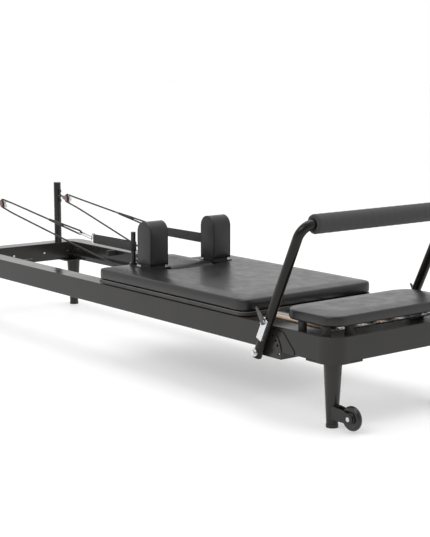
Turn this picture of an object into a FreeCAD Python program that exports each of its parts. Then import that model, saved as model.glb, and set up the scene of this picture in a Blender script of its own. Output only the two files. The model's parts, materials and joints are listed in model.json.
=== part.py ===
import FreeCAD, Part
import math
import os
import Sketcher

# A pilates reformer. +X points to the foot end, +Z up, the floor is z = 0 and the origin is
# the middle of the whole outline. "left" is the -Y side and "right" the +Y side.

doc = FreeCAD.newDocument("pilates_reformer")


# ---------------------------------------------------------------------------
# Driving dimensions, in millimetres and degrees
# ---------------------------------------------------------------------------

DIMENSIONS = [
    # bed frame
    ("frame_length", 2600), ("frame_width", 670), ("rail_width", 83), ("rail_height", 87),
    ("rail_bottom", 237), ("rail_wall", 3), ("edge_radius", 2.5), ("corner_radius", 65), ("corner_wall", 5),
    ("plate_length", 130), ("plate_width", 142), ("plate_thickness", 6),
    ("leg_inset", 68), ("leg_top_radius", 32.5), ("leg_foot_radius", 20.5), ("leg_wall", 3),
    ("leg_flange_radius", 37), ("leg_flange_height", 6), ("pad_radius", 21.5), ("pad_height", 12),
    ("track_width", 28), ("track_thickness", 4), ("track_height", 266), ("track_skirt", 26),
    ("screw_radius", 5), ("screw_height", 4), ("screw_level", 279), ("screw_near", 86),
    ("screw_far", 222),
    # transport wheels
    ("caster_overhang", 71), ("caster_radius", 43), ("caster_width", 22), ("caster_level", 50),
    ("caster_bore", 5.05), ("caster_hub_radius", 17), ("caster_side", 2),
    ("fork_thickness", 5), ("fork_tip_radius", 18), ("fork_low", 32), ("fork_high", 78),
    ("fork_root", 8), ("tyre_step", 3),
    ("axle_radius", 5), ("axle_head", 8), ("axle_head_height", 4),
    # carriage
    ("carriage_gap", 464), ("carriage_length", 936), ("carriage_width", 658),
    ("board_bottom", 327), ("board_thickness", 13), ("pad_thickness", 50),
    ("foot_corner", 45), ("head_corner", 12), ("notch_length", 217.5), ("notch_width", 226),
    ("beam_outer", 222), ("beam_width", 18), ("beam_height", 27), ("beam_setback", 18),
    ("anchor_setback", 176), ("anchor_radius", 6), ("rib_width", 18), ("rib_place", 349),
    ("cleat_offset", 100), ("cleat_length", 22), ("cleat_width", 26), ("cleat_height", 24),
    ("cleat_room", 0.9),
    ("wheel_radius", 22), ("wheel_width", 16), ("wheel_face", 230), ("wheel_lift", 0.3),
    ("wheel_foot", 100), ("wheel_head", 96), ("wheel_bore", 5.05), ("wheel_chamfer", 1.5),
    ("hanger_half", 22), ("hanger_thickness", 6), ("hanger_drop", 16), ("stub_radius", 5),
    ("cap_thickness", 2.5),
    ("stop_length", 18), ("stop_height", 26), ("stop_reach", 46), ("travel", 740),
    # shoulder rests, pegs and headrest
    ("rest_offset", 164), ("rest_width", 92), ("rest_depth", 91), ("rest_face", 64.5),
    ("rest_bottom", 404), ("rest_top", 584), ("stand_inset", 10),
    ("bracket_length", 100), ("bracket_width", 98), ("bracket_thickness", 6), ("bracket_arm", 32),
    ("collar_radius", 15), ("collar_height", 6),
    ("peg_offset", 190), ("peg_place", -82.5), ("peg_radius", 10), ("peg_top", 530),
    ("headrest_length", 295), ("headrest_half", 110), ("headrest_place", 79.5),
    ("headrest_bottom", 341), ("headrest_board", 12), ("headrest_top", 397),
    ("headrest_corner", 22),
    # handles
    ("strap_height", 38), ("strap_thickness", 3), ("strap_level", 470), ("strap_inner", 10.6),
    ("strap_reach", 292), ("ring_radius", 23), ("ring_wire", 2.5), ("hook_wire", 3),
    ("hook_half", 10), ("hook_length", 93), ("hook_place", -391.5), ("hook_tilt", 9.2),
    # risers and pulleys
    ("riser_offset", 181), ("riser_radius", 17.5), ("riser_top", 625), ("riser_inset", 65),
    ("eye_stem", 5), ("eye_root", 2), ("eye_cut", 20),
    ("eye_level", 560), ("eye_pitch", 23.5), ("eye_radius", 7), ("eye_wire", 2.5),
    ("sheave_radius", 20), ("groove_radius", 15),
    ("sheave_width", 12), ("sheave_bore", 3.05), ("cheek_gap", 15), ("cheek_thickness", 2),
    ("cheek_radius", 13), ("cheek_low", 6), ("bridge_gap", 2.6), ("bridge_length", 7), ("tang_half", 2),
    ("tang_hole", 3), ("shackle_length", 30), ("shackle_wire", 2), ("shackle_half", 7),
    ("shackle_pin", 2.3), ("shackle_pin_half", 10), ("pin_head", 1.5),
    ("sheave_pin", 3), ("block_reach", 68), ("block_tilt", 6.8),
    # ropes
    ("rope_radius", 4), ("rope_gap", 0.4), ("sleeve_start", 260), ("sleeve_end", 147),
    ("sleeve_thin", 5.5), ("sleeve_thick", 9.5), ("loop_radius", 7.8), ("strand_offset", 4.4),
    ("sheave_lead", 120), ("sleeve_lead", 30), ("sleeve_tuck", 5), ("strand_lead", 13), ("loop_corner", 8),
    # standing platform
    ("platform_gap", 20), ("platform_length", 262), ("platform_width", 636),
    ("platform_bottom", 352), ("platform_board", 10), ("platform_thickness", 40),
    ("platform_corner", 70), ("spacer_radius", 15), ("spacer_row", 294), ("spacer_first", 90),
    ("spacer_last", 55), ("spacer_middle_row", 214.6), ("spacer_end", 46.5),
    # springs
    ("spring_bar_gap", 115), ("spring_bar_radius", 10), ("spring_level", 310),
    ("spring_pitch", 92), ("spring_radius", 14), ("spring_wire", 2), ("spring_eye_gap", 0.5),
    ("hanger_plate", 6), ("hanger_length", 50), ("hanger_height", 44), ("hanger_low", 32),
    # footbar
    ("pivot_gap", 346), ("pivot_level", 226), ("arm_offset", 360), ("tube_radius", 17.5),
    ("tube_wall", 2.5), ("footbar_reach", 515), ("footbar_bend", 50), ("footbar_lean", 25),
    ("grip_radius", 34), ("grip_length", 618), ("pivot_radius", 6), ("pivot_clearance", 0.05),
    ("bracket_plate", 6), ("bracket_radius", 97), ("bracket_low", 211), ("hole_circle", 84),
    ("hole_radius", 5), ("washer_radius", 14), ("washer_thickness", 4), ("washer_gap", 0.5),
    ("bolt_head_radius", 9), ("bolt_head_height", 8), ("bracket_left", 20.5), ("bracket_top", 66),
    ("gusset_length", 64), ("gusset_tip", 12), ("gusset_start", 6), ("gusset_height", 72),
    ("footbar_tail", 20), ("housing_low", 56), ("housing_length", 84), ("housing_width", 27),
    ("housing_face", 381.7), ("housing_depth", 12),
    ("pin_radius", 4.5), ("pin_reach", 341.5), ("lever_place", 128),
    ("lever_level", 386.5), ("lever_lean", 60.8), ("lever_length", 62), ("lever_width", 16),
    ("lever_thickness", 9), ("lever_pin", 2), ("ear_thickness", 2.5),
]

sheet = doc.addObject("Spreadsheet::Sheet", "Dims")
for row, (alias, number) in enumerate(DIMENSIONS, start=1):
    sheet.set(f"A{row}", alias)
    sheet.set(f"B{row}", str(number))
    sheet.setAlias(f"B{row}", alias)
doc.recompute()


class Size:
    """A number together with the sheet expression that gives it."""

    def __init__(self, value, text):
        self.value = value
        self.text = text

    def join(self, other, sign, value):
        return Size(value, f"({self.text} {sign} {size(other).text})")

    def __add__(self, other):
        return self.join(other, "+", self.value + size(other).value)

    def __sub__(self, other):
        return self.join(other, "-", self.value - size(other).value)

    def __mul__(self, other):
        return self.join(other, "*", self.value * size(other).value)

    def __truediv__(self, other):
        return self.join(other, "/", self.value / size(other).value)

    def __radd__(self, other):
        return size(other) + self

    def __rsub__(self, other):
        return size(other) - self

    def __rmul__(self, other):
        return size(other) * self

    def __neg__(self):
        return Size(-self.value, f"(0 - {self.text})")


def size(number):
    """Any number as a Size."""
    if isinstance(number, Size):
        return number
    return Size(float(number), f"({float(number)!r})")


def cos(angle):
    angle = size(angle)
    return Size(math.cos(math.radians(angle.value)), f"cos({angle.text} * 1 deg)")


def sin(angle):
    angle = size(angle)
    return Size(math.sin(math.radians(angle.value)), f"sin({angle.text} * 1 deg)")


def root(square):
    return Size(math.sqrt(square.value), f"sqrt({square.text})")


class Dims:
    """The sheet's cells, as Sizes."""


dim = Dims()
for alias, number in DIMENSIONS:
    setattr(dim, alias, Size(float(sheet.get(alias)), f"Dims.{alias}"))

# places that several sub-parts share
foot_x = (dim.frame_length - dim.caster_overhang) / 2
head_x = foot_x - dim.frame_length
half_width = dim.frame_width / 2
rail_inner = half_width - dim.rail_width
rail_top = dim.rail_bottom + dim.rail_height
carriage_foot = foot_x - dim.carriage_gap
carriage_head = carriage_foot - dim.carriage_length
pad_bottom = dim.board_bottom + dim.board_thickness
pad_top = pad_bottom + dim.pad_thickness
wheel_level = dim.track_height + dim.wheel_radius + dim.wheel_lift
pivot_x = foot_x - dim.pivot_gap
spring_bar_x = foot_x - dim.spring_bar_gap
anchor_x = carriage_foot - dim.anchor_setback
leg_top = dim.rail_bottom - dim.plate_thickness
riser_x = head_x + dim.riser_inset
eye_x = riser_x + dim.riser_radius + dim.eye_radius + dim.eye_wire
beam_foot = carriage_foot - dim.beam_setback
beam_head = carriage_head + dim.beam_setback
caster_x = foot_x + dim.caster_overhang - dim.caster_radius
cleat_x = beam_head - dim.cleat_length + dim.tube_wall * 3
cleat_z = dim.board_bottom - dim.cleat_height / 2
sheave_x = eye_x + dim.block_reach * cos(dim.block_tilt)
sheave_z = dim.eye_level - dim.block_reach * sin(dim.block_tilt)
rope_circle = dim.groove_radius + dim.rope_radius + dim.rope_gap
LEFT, RIGHT = -1, 1
SIDES = ((LEFT, "left"), (RIGHT, "right"))


# ---------------------------------------------------------------------------
# Building blocks
# ---------------------------------------------------------------------------

TURN_TO_X = FreeCAD.Rotation(FreeCAD.Vector(0, 1, 0), 90)
TURN_TO_Y = FreeCAD.Rotation(FreeCAD.Vector(1, 0, 0), -90)
# lengths below this are rounding errors
TINY = 1e-4
# an edge runs along an axis when its direction has at least this much of it
ALONG = 0.99
# an arc between two runs takes up to this share of the shorter one
ARC_SHARE = 0.45
nodes = []


def bind(thing, **sizes):
    """Bind properties of an object to the sheet."""
    for name, number in sizes.items():
        thing.setExpression(name, size(number).text)
    return thing


def place(thing, x=0, y=0, z=0):
    """Bind where an object stands."""
    for axis, number in zip("xyz", (x, y, z)):
        thing.setExpression(f"Placement.Base.{axis}", size(number).text)
    return thing


def turn(thing, angle):
    """Bind how far an object is turned about Y."""
    thing.Placement = FreeCAD.Placement(FreeCAD.Vector(), FreeCAD.Rotation(FreeCAD.Vector(0, 1, 0), 1))
    thing.setExpression("Placement.Rotation.Angle", size(angle).text)
    return thing


def node(thing, name):
    """Mark an object as a sub-part with its own name."""
    thing.Label = name
    nodes.append(thing)
    return thing


def box(length, width, height, at=(0, 0, 0)):
    solid = doc.addObject("Part::Box", "Box")
    return place(bind(solid, Length=length, Width=width, Height=height), *at)


def rod(radius, height, at=(0, 0, 0), turn=None):
    """A cylinder that runs up from its place, or along X or Y when turned."""
    solid = doc.addObject("Part::Cylinder", "Rod")
    if turn is not None:
        solid.Placement = FreeCAD.Placement(FreeCAD.Vector(), turn)
    return place(bind(solid, Radius=radius, Height=height), *at)


def cone(low_radius, high_radius, height, at=(0, 0, 0)):
    solid = doc.addObject("Part::Cone", "Cone")
    return place(bind(solid, Radius1=low_radius, Radius2=high_radius, Height=height), *at)


def torus(radius, wire, at=(0, 0, 0), turn=None, sweep=360):
    solid = doc.addObject("Part::Torus", "Torus")
    if turn is not None:
        solid.Placement = FreeCAD.Placement(FreeCAD.Vector(), turn)
    solid.Angle3 = sweep
    return place(bind(solid, Radius1=radius, Radius2=wire), *at)


def fuse(*solids):
    whole = doc.addObject("Part::MultiFuse", "Fuse")
    whole.Shapes = list(solids)
    whole.Refine = True
    return whole


def cut(base, *tools):
    rest = doc.addObject("Part::Cut", "Cut")
    rest.Base = base
    rest.Tool = tools[0] if len(tools) == 1 else fuse(*tools)
    rest.Refine = True
    return rest


def common(first, second):
    overlap = doc.addObject("Part::Common", "Common")
    overlap.Base = first
    overlap.Tool = second
    return overlap


def group(*solids):
    """Separate solids that share one sub-part."""
    compound = doc.addObject("Part::Compound", "Group")
    compound.Links = list(solids)
    return compound


def fillet(base, radius, wanted):
    """Round the edges for which wanted(middle, direction) is true."""
    doc.recompute()
    edges = []
    for number, edge in enumerate(base.Shape.Edges, start=1):
        middle = edge.valueAt((edge.FirstParameter + edge.LastParameter) / 2)
        direction = edge.tangentAt((edge.FirstParameter + edge.LastParameter) / 2)
        if wanted(middle, direction):
            edges.append((number, size(radius).value, size(radius).value))
    rounded = doc.addObject("Part::Fillet", "Fillet")
    rounded.Base = base
    rounded.Edges = edges
    return rounded


def upright(direction):
    return abs(direction.z) > ALONG


def plane_of(body, role):
    return [f for f in body.Origin.OriginFeatures if f.Role == role][0]


def outline(body, role, points):
    """A closed sketch. Each point is (x, y), or (x, y, radius) when an arc runs from it to the
    next point, turning left for a positive radius and right for a negative one."""
    sketch = body.newObject("Sketcher::SketchObject", "Outline")
    sketch.AttachmentSupport = [(plane_of(body, role), "")]
    sketch.MapMode = "FlatFace"
    corners = [FreeCAD.Vector(size(p[0]).value, size(p[1]).value, 0) for p in points]
    ends = []
    for index, point in enumerate(points):
        start, end = corners[index], corners[(index + 1) % len(points)]
        if len(point) == 2:
            edge = sketch.addGeometry(Part.LineSegment(start, end))
            ends.append((edge, 1, 2))
            continue
        radius = size(point[2]).value
        chord = end - start
        rise = math.sqrt(max(radius ** 2 - chord.Length ** 2 / 4, 0))
        side = FreeCAD.Vector(-chord.y, chord.x, 0).normalize()
        centre = (start + end) / 2 + side * math.copysign(rise, radius)
        swap = radius < 0
        first, last = (end, start) if swap else (start, end)
        angles = [math.atan2(p.y - centre.y, p.x - centre.x) for p in (first, last)]
        circle = Part.Circle(centre, FreeCAD.Vector(0, 0, 1), abs(radius))
        edge = sketch.addGeometry(Part.ArcOfCircle(circle, angles[0], angles[1]))
        ends.append((edge, 2, 1) if swap else (edge, 1, 2))
        if rise < TINY:
            axis, kind = (0, "DistanceX") if abs(chord.x) < abs(chord.y) else (1, "DistanceY")
            row = sketch.addConstraint(Sketcher.Constraint(kind, -1, 1, edge, 3, start[axis]))
            sketch.setExpression(f"Constraints[{row}]", size(point[axis]).text)
        else:
            row = sketch.addConstraint(Sketcher.Constraint("Radius", edge, abs(radius)))
            sketch.setExpression(f"Constraints[{row}]", (size(point[2]) * math.copysign(1, radius)).text)
    for index, point in enumerate(points):
        edge, start, _ = ends[index]
        before, _, last = ends[index - 1]
        sketch.addConstraint(Sketcher.Constraint("Coincident", before, last, edge, start))
        for kind, number in (("DistanceX", point[0]), ("DistanceY", point[1])):
            value = size(number).value
            row = sketch.addConstraint(Sketcher.Constraint(kind, -1, 1, edge, start, value))
            sketch.setExpression(f"Constraints[{row}]", size(number).text)
    return sketch


def pad(role, points, depth, both=False):
    """A body padded from one outline. XY pads go up, XZ pads toward -Y, YZ pads toward +X."""
    body = doc.addObject("PartDesign::Body", "Body")
    sketch = outline(body, role, points)
    feature = body.newObject("PartDesign::Pad", "Pad")
    feature.Profile = sketch
    feature.Midplane = both
    feature.setExpression("Length", size(depth).text)
    body.Tip = feature
    return body


def spin(role, points, axis):
    """A body of revolution of one outline about a sketch axis."""
    body = doc.addObject("PartDesign::Body", "Body")
    sketch = outline(body, role, points)
    feature = body.newObject("PartDesign::Revolution", "Revolution")
    feature.Profile = sketch
    feature.ReferenceAxis = (sketch, [axis])
    feature.Angle = 360
    body.Tip = feature
    return body


def rounded_rectangle(low_x, high_x, half_y, low_corner, high_corner):
    """Outline points of a rectangle whose corners are round, about y = 0."""
    return [
        (low_x + low_corner, -half_y), (high_x - high_corner, -half_y, high_corner),
        (high_x, -half_y + high_corner), (high_x, half_y - high_corner, high_corner),
        (high_x - high_corner, half_y), (low_x + low_corner, half_y, low_corner),
        (low_x, half_y - low_corner), (low_x, -half_y + low_corner, low_corner),
    ]


# ---------------------------------------------------------------------------
# Bed frame
# ---------------------------------------------------------------------------


def side_rails():
    """Closed box rails between the frame corners."""
    length = dim.frame_length - 2 * dim.rail_width
    for side, word in SIDES:
        outside = fillet(box(length, dim.rail_width, dim.rail_height), dim.edge_radius,
                         lambda middle, direction: abs(direction.x) > ALONG)
        inside = box(length, dim.rail_width - 2 * dim.rail_wall, dim.rail_height - 2 * dim.rail_wall,
                     (0, dim.rail_wall, dim.rail_wall))
        rail = node(cut(outside, inside), f"{word}_rail")
        low_y = rail_inner if side == RIGHT else -half_width
        place(rail, head_x + dim.rail_width, low_y, dim.rail_bottom)


def crossbars():
    length = dim.frame_width - 2 * dim.rail_width
    for word, low_x in (("head", head_x), ("foot", foot_x - dim.rail_width)):
        outside = fillet(box(dim.rail_width, length, dim.rail_height), dim.edge_radius,
                         lambda middle, direction: abs(direction.y) > ALONG)
        inside = box(dim.rail_width - 2 * dim.rail_wall, length, dim.rail_height - 2 * dim.rail_wall,
                     (dim.rail_wall, 0, dim.rail_wall))
        crossbar = node(cut(outside, inside), f"{word}_crossbar")
        place(crossbar, low_x, -length / 2, dim.rail_bottom)


def corner_block(end, side, length, width, height, radius, low_z):
    """A block in one corner of the frame, its outer upright edge rounded."""
    low_x = head_x if end < 0 else foot_x - length
    low_y = -half_width if side < 0 else half_width - width
    block = box(length, width, height, (low_x, low_y, low_z))
    edge_x = head_x.value if end < 0 else foot_x.value
    edge_y = side * half_width.value

    def outer(middle, direction):
        return upright(direction) and abs(middle.x - edge_x) < 1 and abs(middle.y - edge_y) < 1

    return fillet(block, radius, outer)


def top_rim(end, side):
    """Picks the top edges of a corner block that face outward."""
    edge_x = head_x.value if end < 0 else foot_x.value
    edge_y = side * half_width.value

    def wanted(middle, direction):
        reach = dim.corner_radius.value / 2
        outward = abs(middle.x - edge_x) < reach or abs(middle.y - edge_y) < reach
        return outward and abs(middle.z - rail_top.value) < 1 and not upright(direction)

    return wanted


def frame_corners():
    """Hollow castings that join the rails, open below, and the plates that close them."""
    corners, plates = [], []
    for end in (-1, 1):
        for side, _ in SIDES:
            block = corner_block(end, side, dim.rail_width, dim.rail_width, dim.rail_height,
                                 dim.corner_radius, dim.rail_bottom)
            outside = fillet(block, dim.edge_radius, top_rim(end, side))
            room = dim.rail_width - 2 * dim.corner_wall
            low_x = head_x if end < 0 else foot_x - dim.rail_width
            low_y = -half_width if side < 0 else rail_inner
            shift = dim.corner_radius / 4
            hollow = box(room - shift, room - shift, dim.rail_height - dim.corner_wall,
                         (low_x + dim.corner_wall + (shift if end < 0 else 0),
                          low_y + dim.corner_wall + (shift if side < 0 else 0), dim.rail_bottom))
            corners.append(cut(outside, hollow))
            plates.append(corner_block(end, side, dim.plate_length, dim.plate_width,
                                       dim.plate_thickness, dim.corner_radius, leg_top))
    node(group(*corners), "frame_corners")
    node(group(*plates), "corner_plates")


def legs():
    """Tapered tubes under the corners, each on a rubber pad."""
    pads = []
    height = leg_top - dim.pad_height
    for end, end_word in ((-1, "head"), (1, "foot")):
        for side, word in SIDES:
            outside = cone(dim.leg_foot_radius, dim.leg_top_radius, height)
            flange = rod(dim.leg_flange_radius, dim.leg_flange_height,
                         (0, 0, height - dim.leg_flange_height))
            inside = cone(dim.leg_foot_radius - dim.leg_wall, dim.leg_top_radius - dim.leg_wall, height)
            leg = node(cut(fuse(outside, flange), inside), f"{word}_{end_word}_leg")
            leg_x = (head_x + dim.leg_inset) if end < 0 else (foot_x - dim.leg_inset)
            leg_y = side * (half_width - dim.leg_inset)
            place(leg, leg_x, leg_y, dim.pad_height)
            pads.append(rod(dim.pad_radius, dim.pad_height, (leg_x, leg_y, 0)))
    node(group(*pads), "leg_pads")


def running_tracks():
    """Angles inside the rails that the carriage wheels run on."""
    length = dim.frame_length - 2 * dim.rail_width
    tracks = []
    for side, _ in SIDES:
        ledge_y = rail_inner - dim.track_width if side > 0 else -rail_inner
        skirt_y = rail_inner - dim.track_thickness if side > 0 else -rail_inner
        ledge = box(length, dim.track_width, dim.track_thickness,
                    (head_x + dim.rail_width, ledge_y, dim.track_height - dim.track_thickness))
        skirt = box(length, dim.track_thickness, dim.track_skirt,
                    (head_x + dim.rail_width, skirt_y, dim.track_height - dim.track_skirt))
        tracks.append(fuse(ledge, skirt))
    node(group(*tracks), "running_tracks")


def carriage_stops():
    """Rubber buffers on the rails at both ends of the carriage's run."""
    stops = []
    for low_x in (beam_foot + 1, beam_head - dim.travel - dim.stop_length - 1):
        for side, _ in SIDES:
            low_y = rail_inner - dim.stop_reach if side > 0 else -rail_inner
            stops.append(box(dim.stop_length, dim.stop_reach, dim.stop_height,
                             (low_x, low_y, dim.board_bottom - dim.stop_height - 3)))
    node(group(*stops), "carriage_stops")


def frame_screws():
    """Cap screws on the inner faces of both crossbars."""
    screws = []
    for low_x in (head_x + dim.rail_width, foot_x - dim.rail_width - dim.screw_height):
        for offset in (dim.screw_near, dim.screw_far):
            for side, _ in SIDES:
                screws.append(rod(dim.screw_radius, dim.screw_height,
                                  (low_x, side * offset, dim.screw_level), TURN_TO_X))
    node(group(*screws), "frame_screws")


def transport_wheels():
    """A fork on each foot-end leg, with a wheel that touches down when the bed is tipped."""
    leg_x = foot_x - dim.leg_inset
    inner = dim.caster_width / 2 + dim.caster_side
    forks = []
    for side, word in SIDES:
        leg_y = side * (half_width - dim.leg_inset)
        tip_low = dim.caster_level - dim.fork_tip_radius
        tip_high = dim.caster_level + dim.fork_tip_radius
        cheek = [(leg_x, dim.fork_low), (caster_x, tip_low, dim.fork_tip_radius),
                 (caster_x, tip_high), (leg_x + dim.leg_foot_radius + dim.fork_root, dim.fork_high),
                 (leg_x, dim.fork_high)]
        whole = pad("XZ_Plane", cheek, 2 * (inner + dim.fork_thickness), both=True)
        place(whole, 0, leg_y, 0)
        gap_low = leg_x + dim.leg_foot_radius + dim.fork_root
        gap = box(caster_x + dim.fork_tip_radius - gap_low + 2, 2 * inner,
                  dim.fork_high - dim.fork_low + 2 * dim.fork_tip_radius,
                  (gap_low, leg_y - inner, dim.fork_low - dim.fork_tip_radius))
        height = leg_top - dim.pad_height
        leg = cone(dim.leg_foot_radius, dim.leg_top_radius, height, (leg_x, leg_y, dim.pad_height))
        hole = rod(dim.axle_radius, 2 * (inner + dim.fork_thickness + 1),
                   (caster_x, leg_y - inner - dim.fork_thickness - 1, dim.caster_level), TURN_TO_Y)
        forks.append(cut(whole, gap, leg, hole))

        half = dim.caster_width / 2
        flat = half - dim.caster_side
        tyre = [(dim.caster_bore, -half), (dim.caster_hub_radius, -half),
                (dim.caster_hub_radius + dim.tyre_step, -flat), (dim.caster_radius - half, -half, half),
                (dim.caster_radius - half, half), (dim.caster_hub_radius + dim.tyre_step, flat),
                (dim.caster_hub_radius, half), (dim.caster_bore, half)]
        wheel = node(spin("XY_Plane", tyre, "V_Axis"), f"{word}_transport_wheel")
        place(wheel, caster_x, leg_y, dim.caster_level)
    node(group(*forks), "caster_forks")


def pivot_bolts():
    """Axle bolts of the transport wheels and pivot bolts of the footbar."""
    bolts = []
    reach = dim.caster_width / 2 + dim.caster_side + dim.fork_thickness
    for side, _ in SIDES:
        leg_y = side * (half_width - dim.leg_inset)
        shank = rod(dim.axle_radius, 2 * reach, (caster_x, leg_y - reach, dim.caster_level), TURN_TO_Y)
        heads = [rod(dim.axle_head, dim.axle_head_height, (caster_x, low_y, dim.caster_level), TURN_TO_Y)
                 for low_y in (leg_y - reach - dim.axle_head_height, leg_y + reach)]
        bolts.append(fuse(shank, *heads))

        arm_face = dim.arm_offset + dim.tube_radius
        nut_start = half_width - dim.bolt_head_height
        washer_start = arm_face + dim.washer_gap
        head_start = washer_start + dim.washer_thickness
        parts = []
        for radius, start, end in ((dim.pivot_radius, nut_start, head_start),
                                   (dim.washer_radius, washer_start, head_start),
                                   (dim.bolt_head_radius, head_start, head_start + dim.bolt_head_height),
                                   (dim.bolt_head_radius, nut_start, half_width)):
            low_y = start if side > 0 else -end
            parts.append(rod(radius, end - start, (pivot_x, low_y, dim.pivot_level), TURN_TO_Y))
        bolts.append(fuse(*parts))
    node(group(*bolts), "pivot_bolts")


LATCH_ANGLES = (2, 22.5, 35.5, 50, 65)


def footbar_brackets():
    """Plates on the rails that carry the footbar pivot and the arc of latch holes."""
    low = dim.bracket_low - dim.pivot_level
    right_x = root(dim.bracket_radius * dim.bracket_radius - low * low)
    top_x = dim.bracket_radius * cos(dim.bracket_top)
    top_z = dim.bracket_radius * sin(dim.bracket_top)
    edge = [(-dim.bracket_left, low), (right_x, low, dim.bracket_radius), (top_x, top_z),
            (-dim.bracket_left, top_z)]
    rail_low = dim.rail_bottom - dim.pivot_level
    web = [(top_x, rail_low), (right_x + dim.gusset_length, rail_low),
           (right_x + dim.gusset_length, rail_low + dim.gusset_tip),
           (right_x + dim.gusset_start, rail_low + dim.gusset_height),
           (top_x, rail_low + dim.gusset_height + 2)]
    for side, word in SIDES:
        plate = place(pad("XZ_Plane", edge, dim.bracket_plate, both=True),
                      0, side * (half_width + dim.bracket_plate / 2), 0)
        gusset = place(pad("XZ_Plane", web, dim.bracket_plate / 2, both=True),
                       0, side * (half_width + dim.bracket_plate / 4), 0)
        low_y = rail_inner if side > 0 else -(half_width + dim.bracket_plate)
        flange = box(dim.bracket_plate, dim.rail_width + dim.bracket_plate, rail_low - low,
                     (right_x - dim.bracket_plate, low_y, low))
        low_y = half_width - 1 if side > 0 else -(half_width + dim.bracket_plate + 1)
        holes = [rod(dim.pivot_radius, dim.bracket_plate + 2, (0, low_y, 0), TURN_TO_Y)]
        for angle in LATCH_ANGLES:
            place_x, place_z = dim.hole_circle * cos(angle), dim.hole_circle * sin(angle)
            holes.append(rod(dim.hole_radius, dim.bracket_plate + 2, (place_x, low_y, place_z), TURN_TO_Y))
        bracket = node(cut(fuse(plate, gusset, flange), *holes), f"{word}_footbar_bracket")
        place(bracket, pivot_x, 0, dim.pivot_level)


def platform():
    """The standing platform at the foot end: a board, its pad and the spacers below."""
    low_x = foot_x - dim.platform_gap - dim.platform_length
    shape = rounded_rectangle(0, dim.platform_length, dim.platform_width / 2,
                              dim.platform_corner, dim.platform_corner)
    board = node(pad("XY_Plane", shape, dim.platform_board), "platform_board")
    place(board, low_x, 0, dim.platform_bottom)
    cushion = node(pad("XY_Plane", shape, dim.platform_thickness - dim.platform_board), "platform_pad")
    place(cushion, low_x, 0, dim.platform_bottom + dim.platform_board)
    spacers = []
    for x_place in (low_x + dim.spacer_first, low_x + dim.platform_length - dim.spacer_last):
        for side, _ in SIDES:
            spacers.append(rod(dim.spacer_radius, dim.platform_bottom - rail_top,
                               (x_place, side * dim.spacer_row, rail_top)))
    for side, _ in SIDES:
        spacers.append(rod(dim.spacer_radius, dim.platform_bottom - rail_top,
                           (foot_x - dim.spacer_end, side * dim.spacer_middle_row, rail_top)))
    node(group(*spacers), "platform_spacers")


def spring_bar():
    """The round bar that the springs hook onto, with a plate on each rail."""
    span = 2 * rail_inner
    bar = rod(dim.spring_bar_radius, span, (0, -rail_inner, 0), TURN_TO_Y)
    plates = []
    for low_y in (-rail_inner, rail_inner - dim.hanger_plate):
        plates.append(box(dim.hanger_length, dim.hanger_plate, dim.hanger_height,
                          (-dim.hanger_length / 2, low_y, -dim.hanger_low)))
    bar = node(fuse(bar, *plates), "spring_bar")
    place(bar, spring_bar_x, 0, dim.spring_level)


def springs():
    """Five extension springs as closed sleeves of their outer size, with an eye at each end."""
    eye_foot = dim.spring_bar_radius + dim.spring_wire + dim.spring_eye_gap
    eye_head = dim.anchor_radius + dim.spring_wire + dim.spring_eye_gap
    low_x = anchor_x + eye_head
    high_x = spring_bar_x - eye_foot
    end = 2 * dim.spring_wire
    whole = []
    for number in range(-2, 3):
        y_place = number * dim.spring_pitch
        coils = rod(dim.spring_radius, high_x - low_x, (low_x, y_place, dim.spring_level), TURN_TO_X)
        hollow = rod(dim.spring_radius - dim.spring_wire, high_x - low_x - 2 * end,
                     (low_x + end, y_place, dim.spring_level), TURN_TO_X)
        near_eye = torus(eye_foot, dim.spring_wire, (spring_bar_x, y_place, dim.spring_level), TURN_TO_Y)
        far_eye = torus(eye_head, dim.spring_wire, (anchor_x, y_place, dim.spring_level), TURN_TO_Y)
        whole.append(cut(fuse(coils, near_eye, far_eye), hollow))
    node(group(*whole), "springs")


def risers():
    """Posts on the head crossbar with three eyes each for the pulley."""
    eyes = []
    for side, word in SIDES:
        outside = rod(dim.riser_radius, dim.riser_top - rail_top)
        inside = rod(dim.riser_radius - dim.tube_wall, dim.riser_top - rail_top - dim.rail_wall)
        riser = node(cut(outside, inside), f"{word}_riser")
        place(riser, riser_x, side * dim.riser_offset, rail_top)
        face_x = riser_x + dim.riser_radius
        for step in (-1, 0, 1):
            level = dim.eye_level + step * dim.eye_pitch
            ring = torus(dim.eye_radius, dim.eye_wire, (eye_x, side * dim.riser_offset, level), TURN_TO_Y)
            stem = rod(dim.eye_wire, dim.eye_stem,
                       (face_x - dim.eye_root, side * dim.riser_offset, level), TURN_TO_X)
            post = rod(dim.riser_radius, dim.eye_cut,
                       (riser_x, side * dim.riser_offset, level - dim.eye_cut / 2))
            eyes.append(cut(fuse(ring, stem), post))
    node(group(*eyes), "riser_eyes")


# ---------------------------------------------------------------------------
# Carriage
# ---------------------------------------------------------------------------


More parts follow.
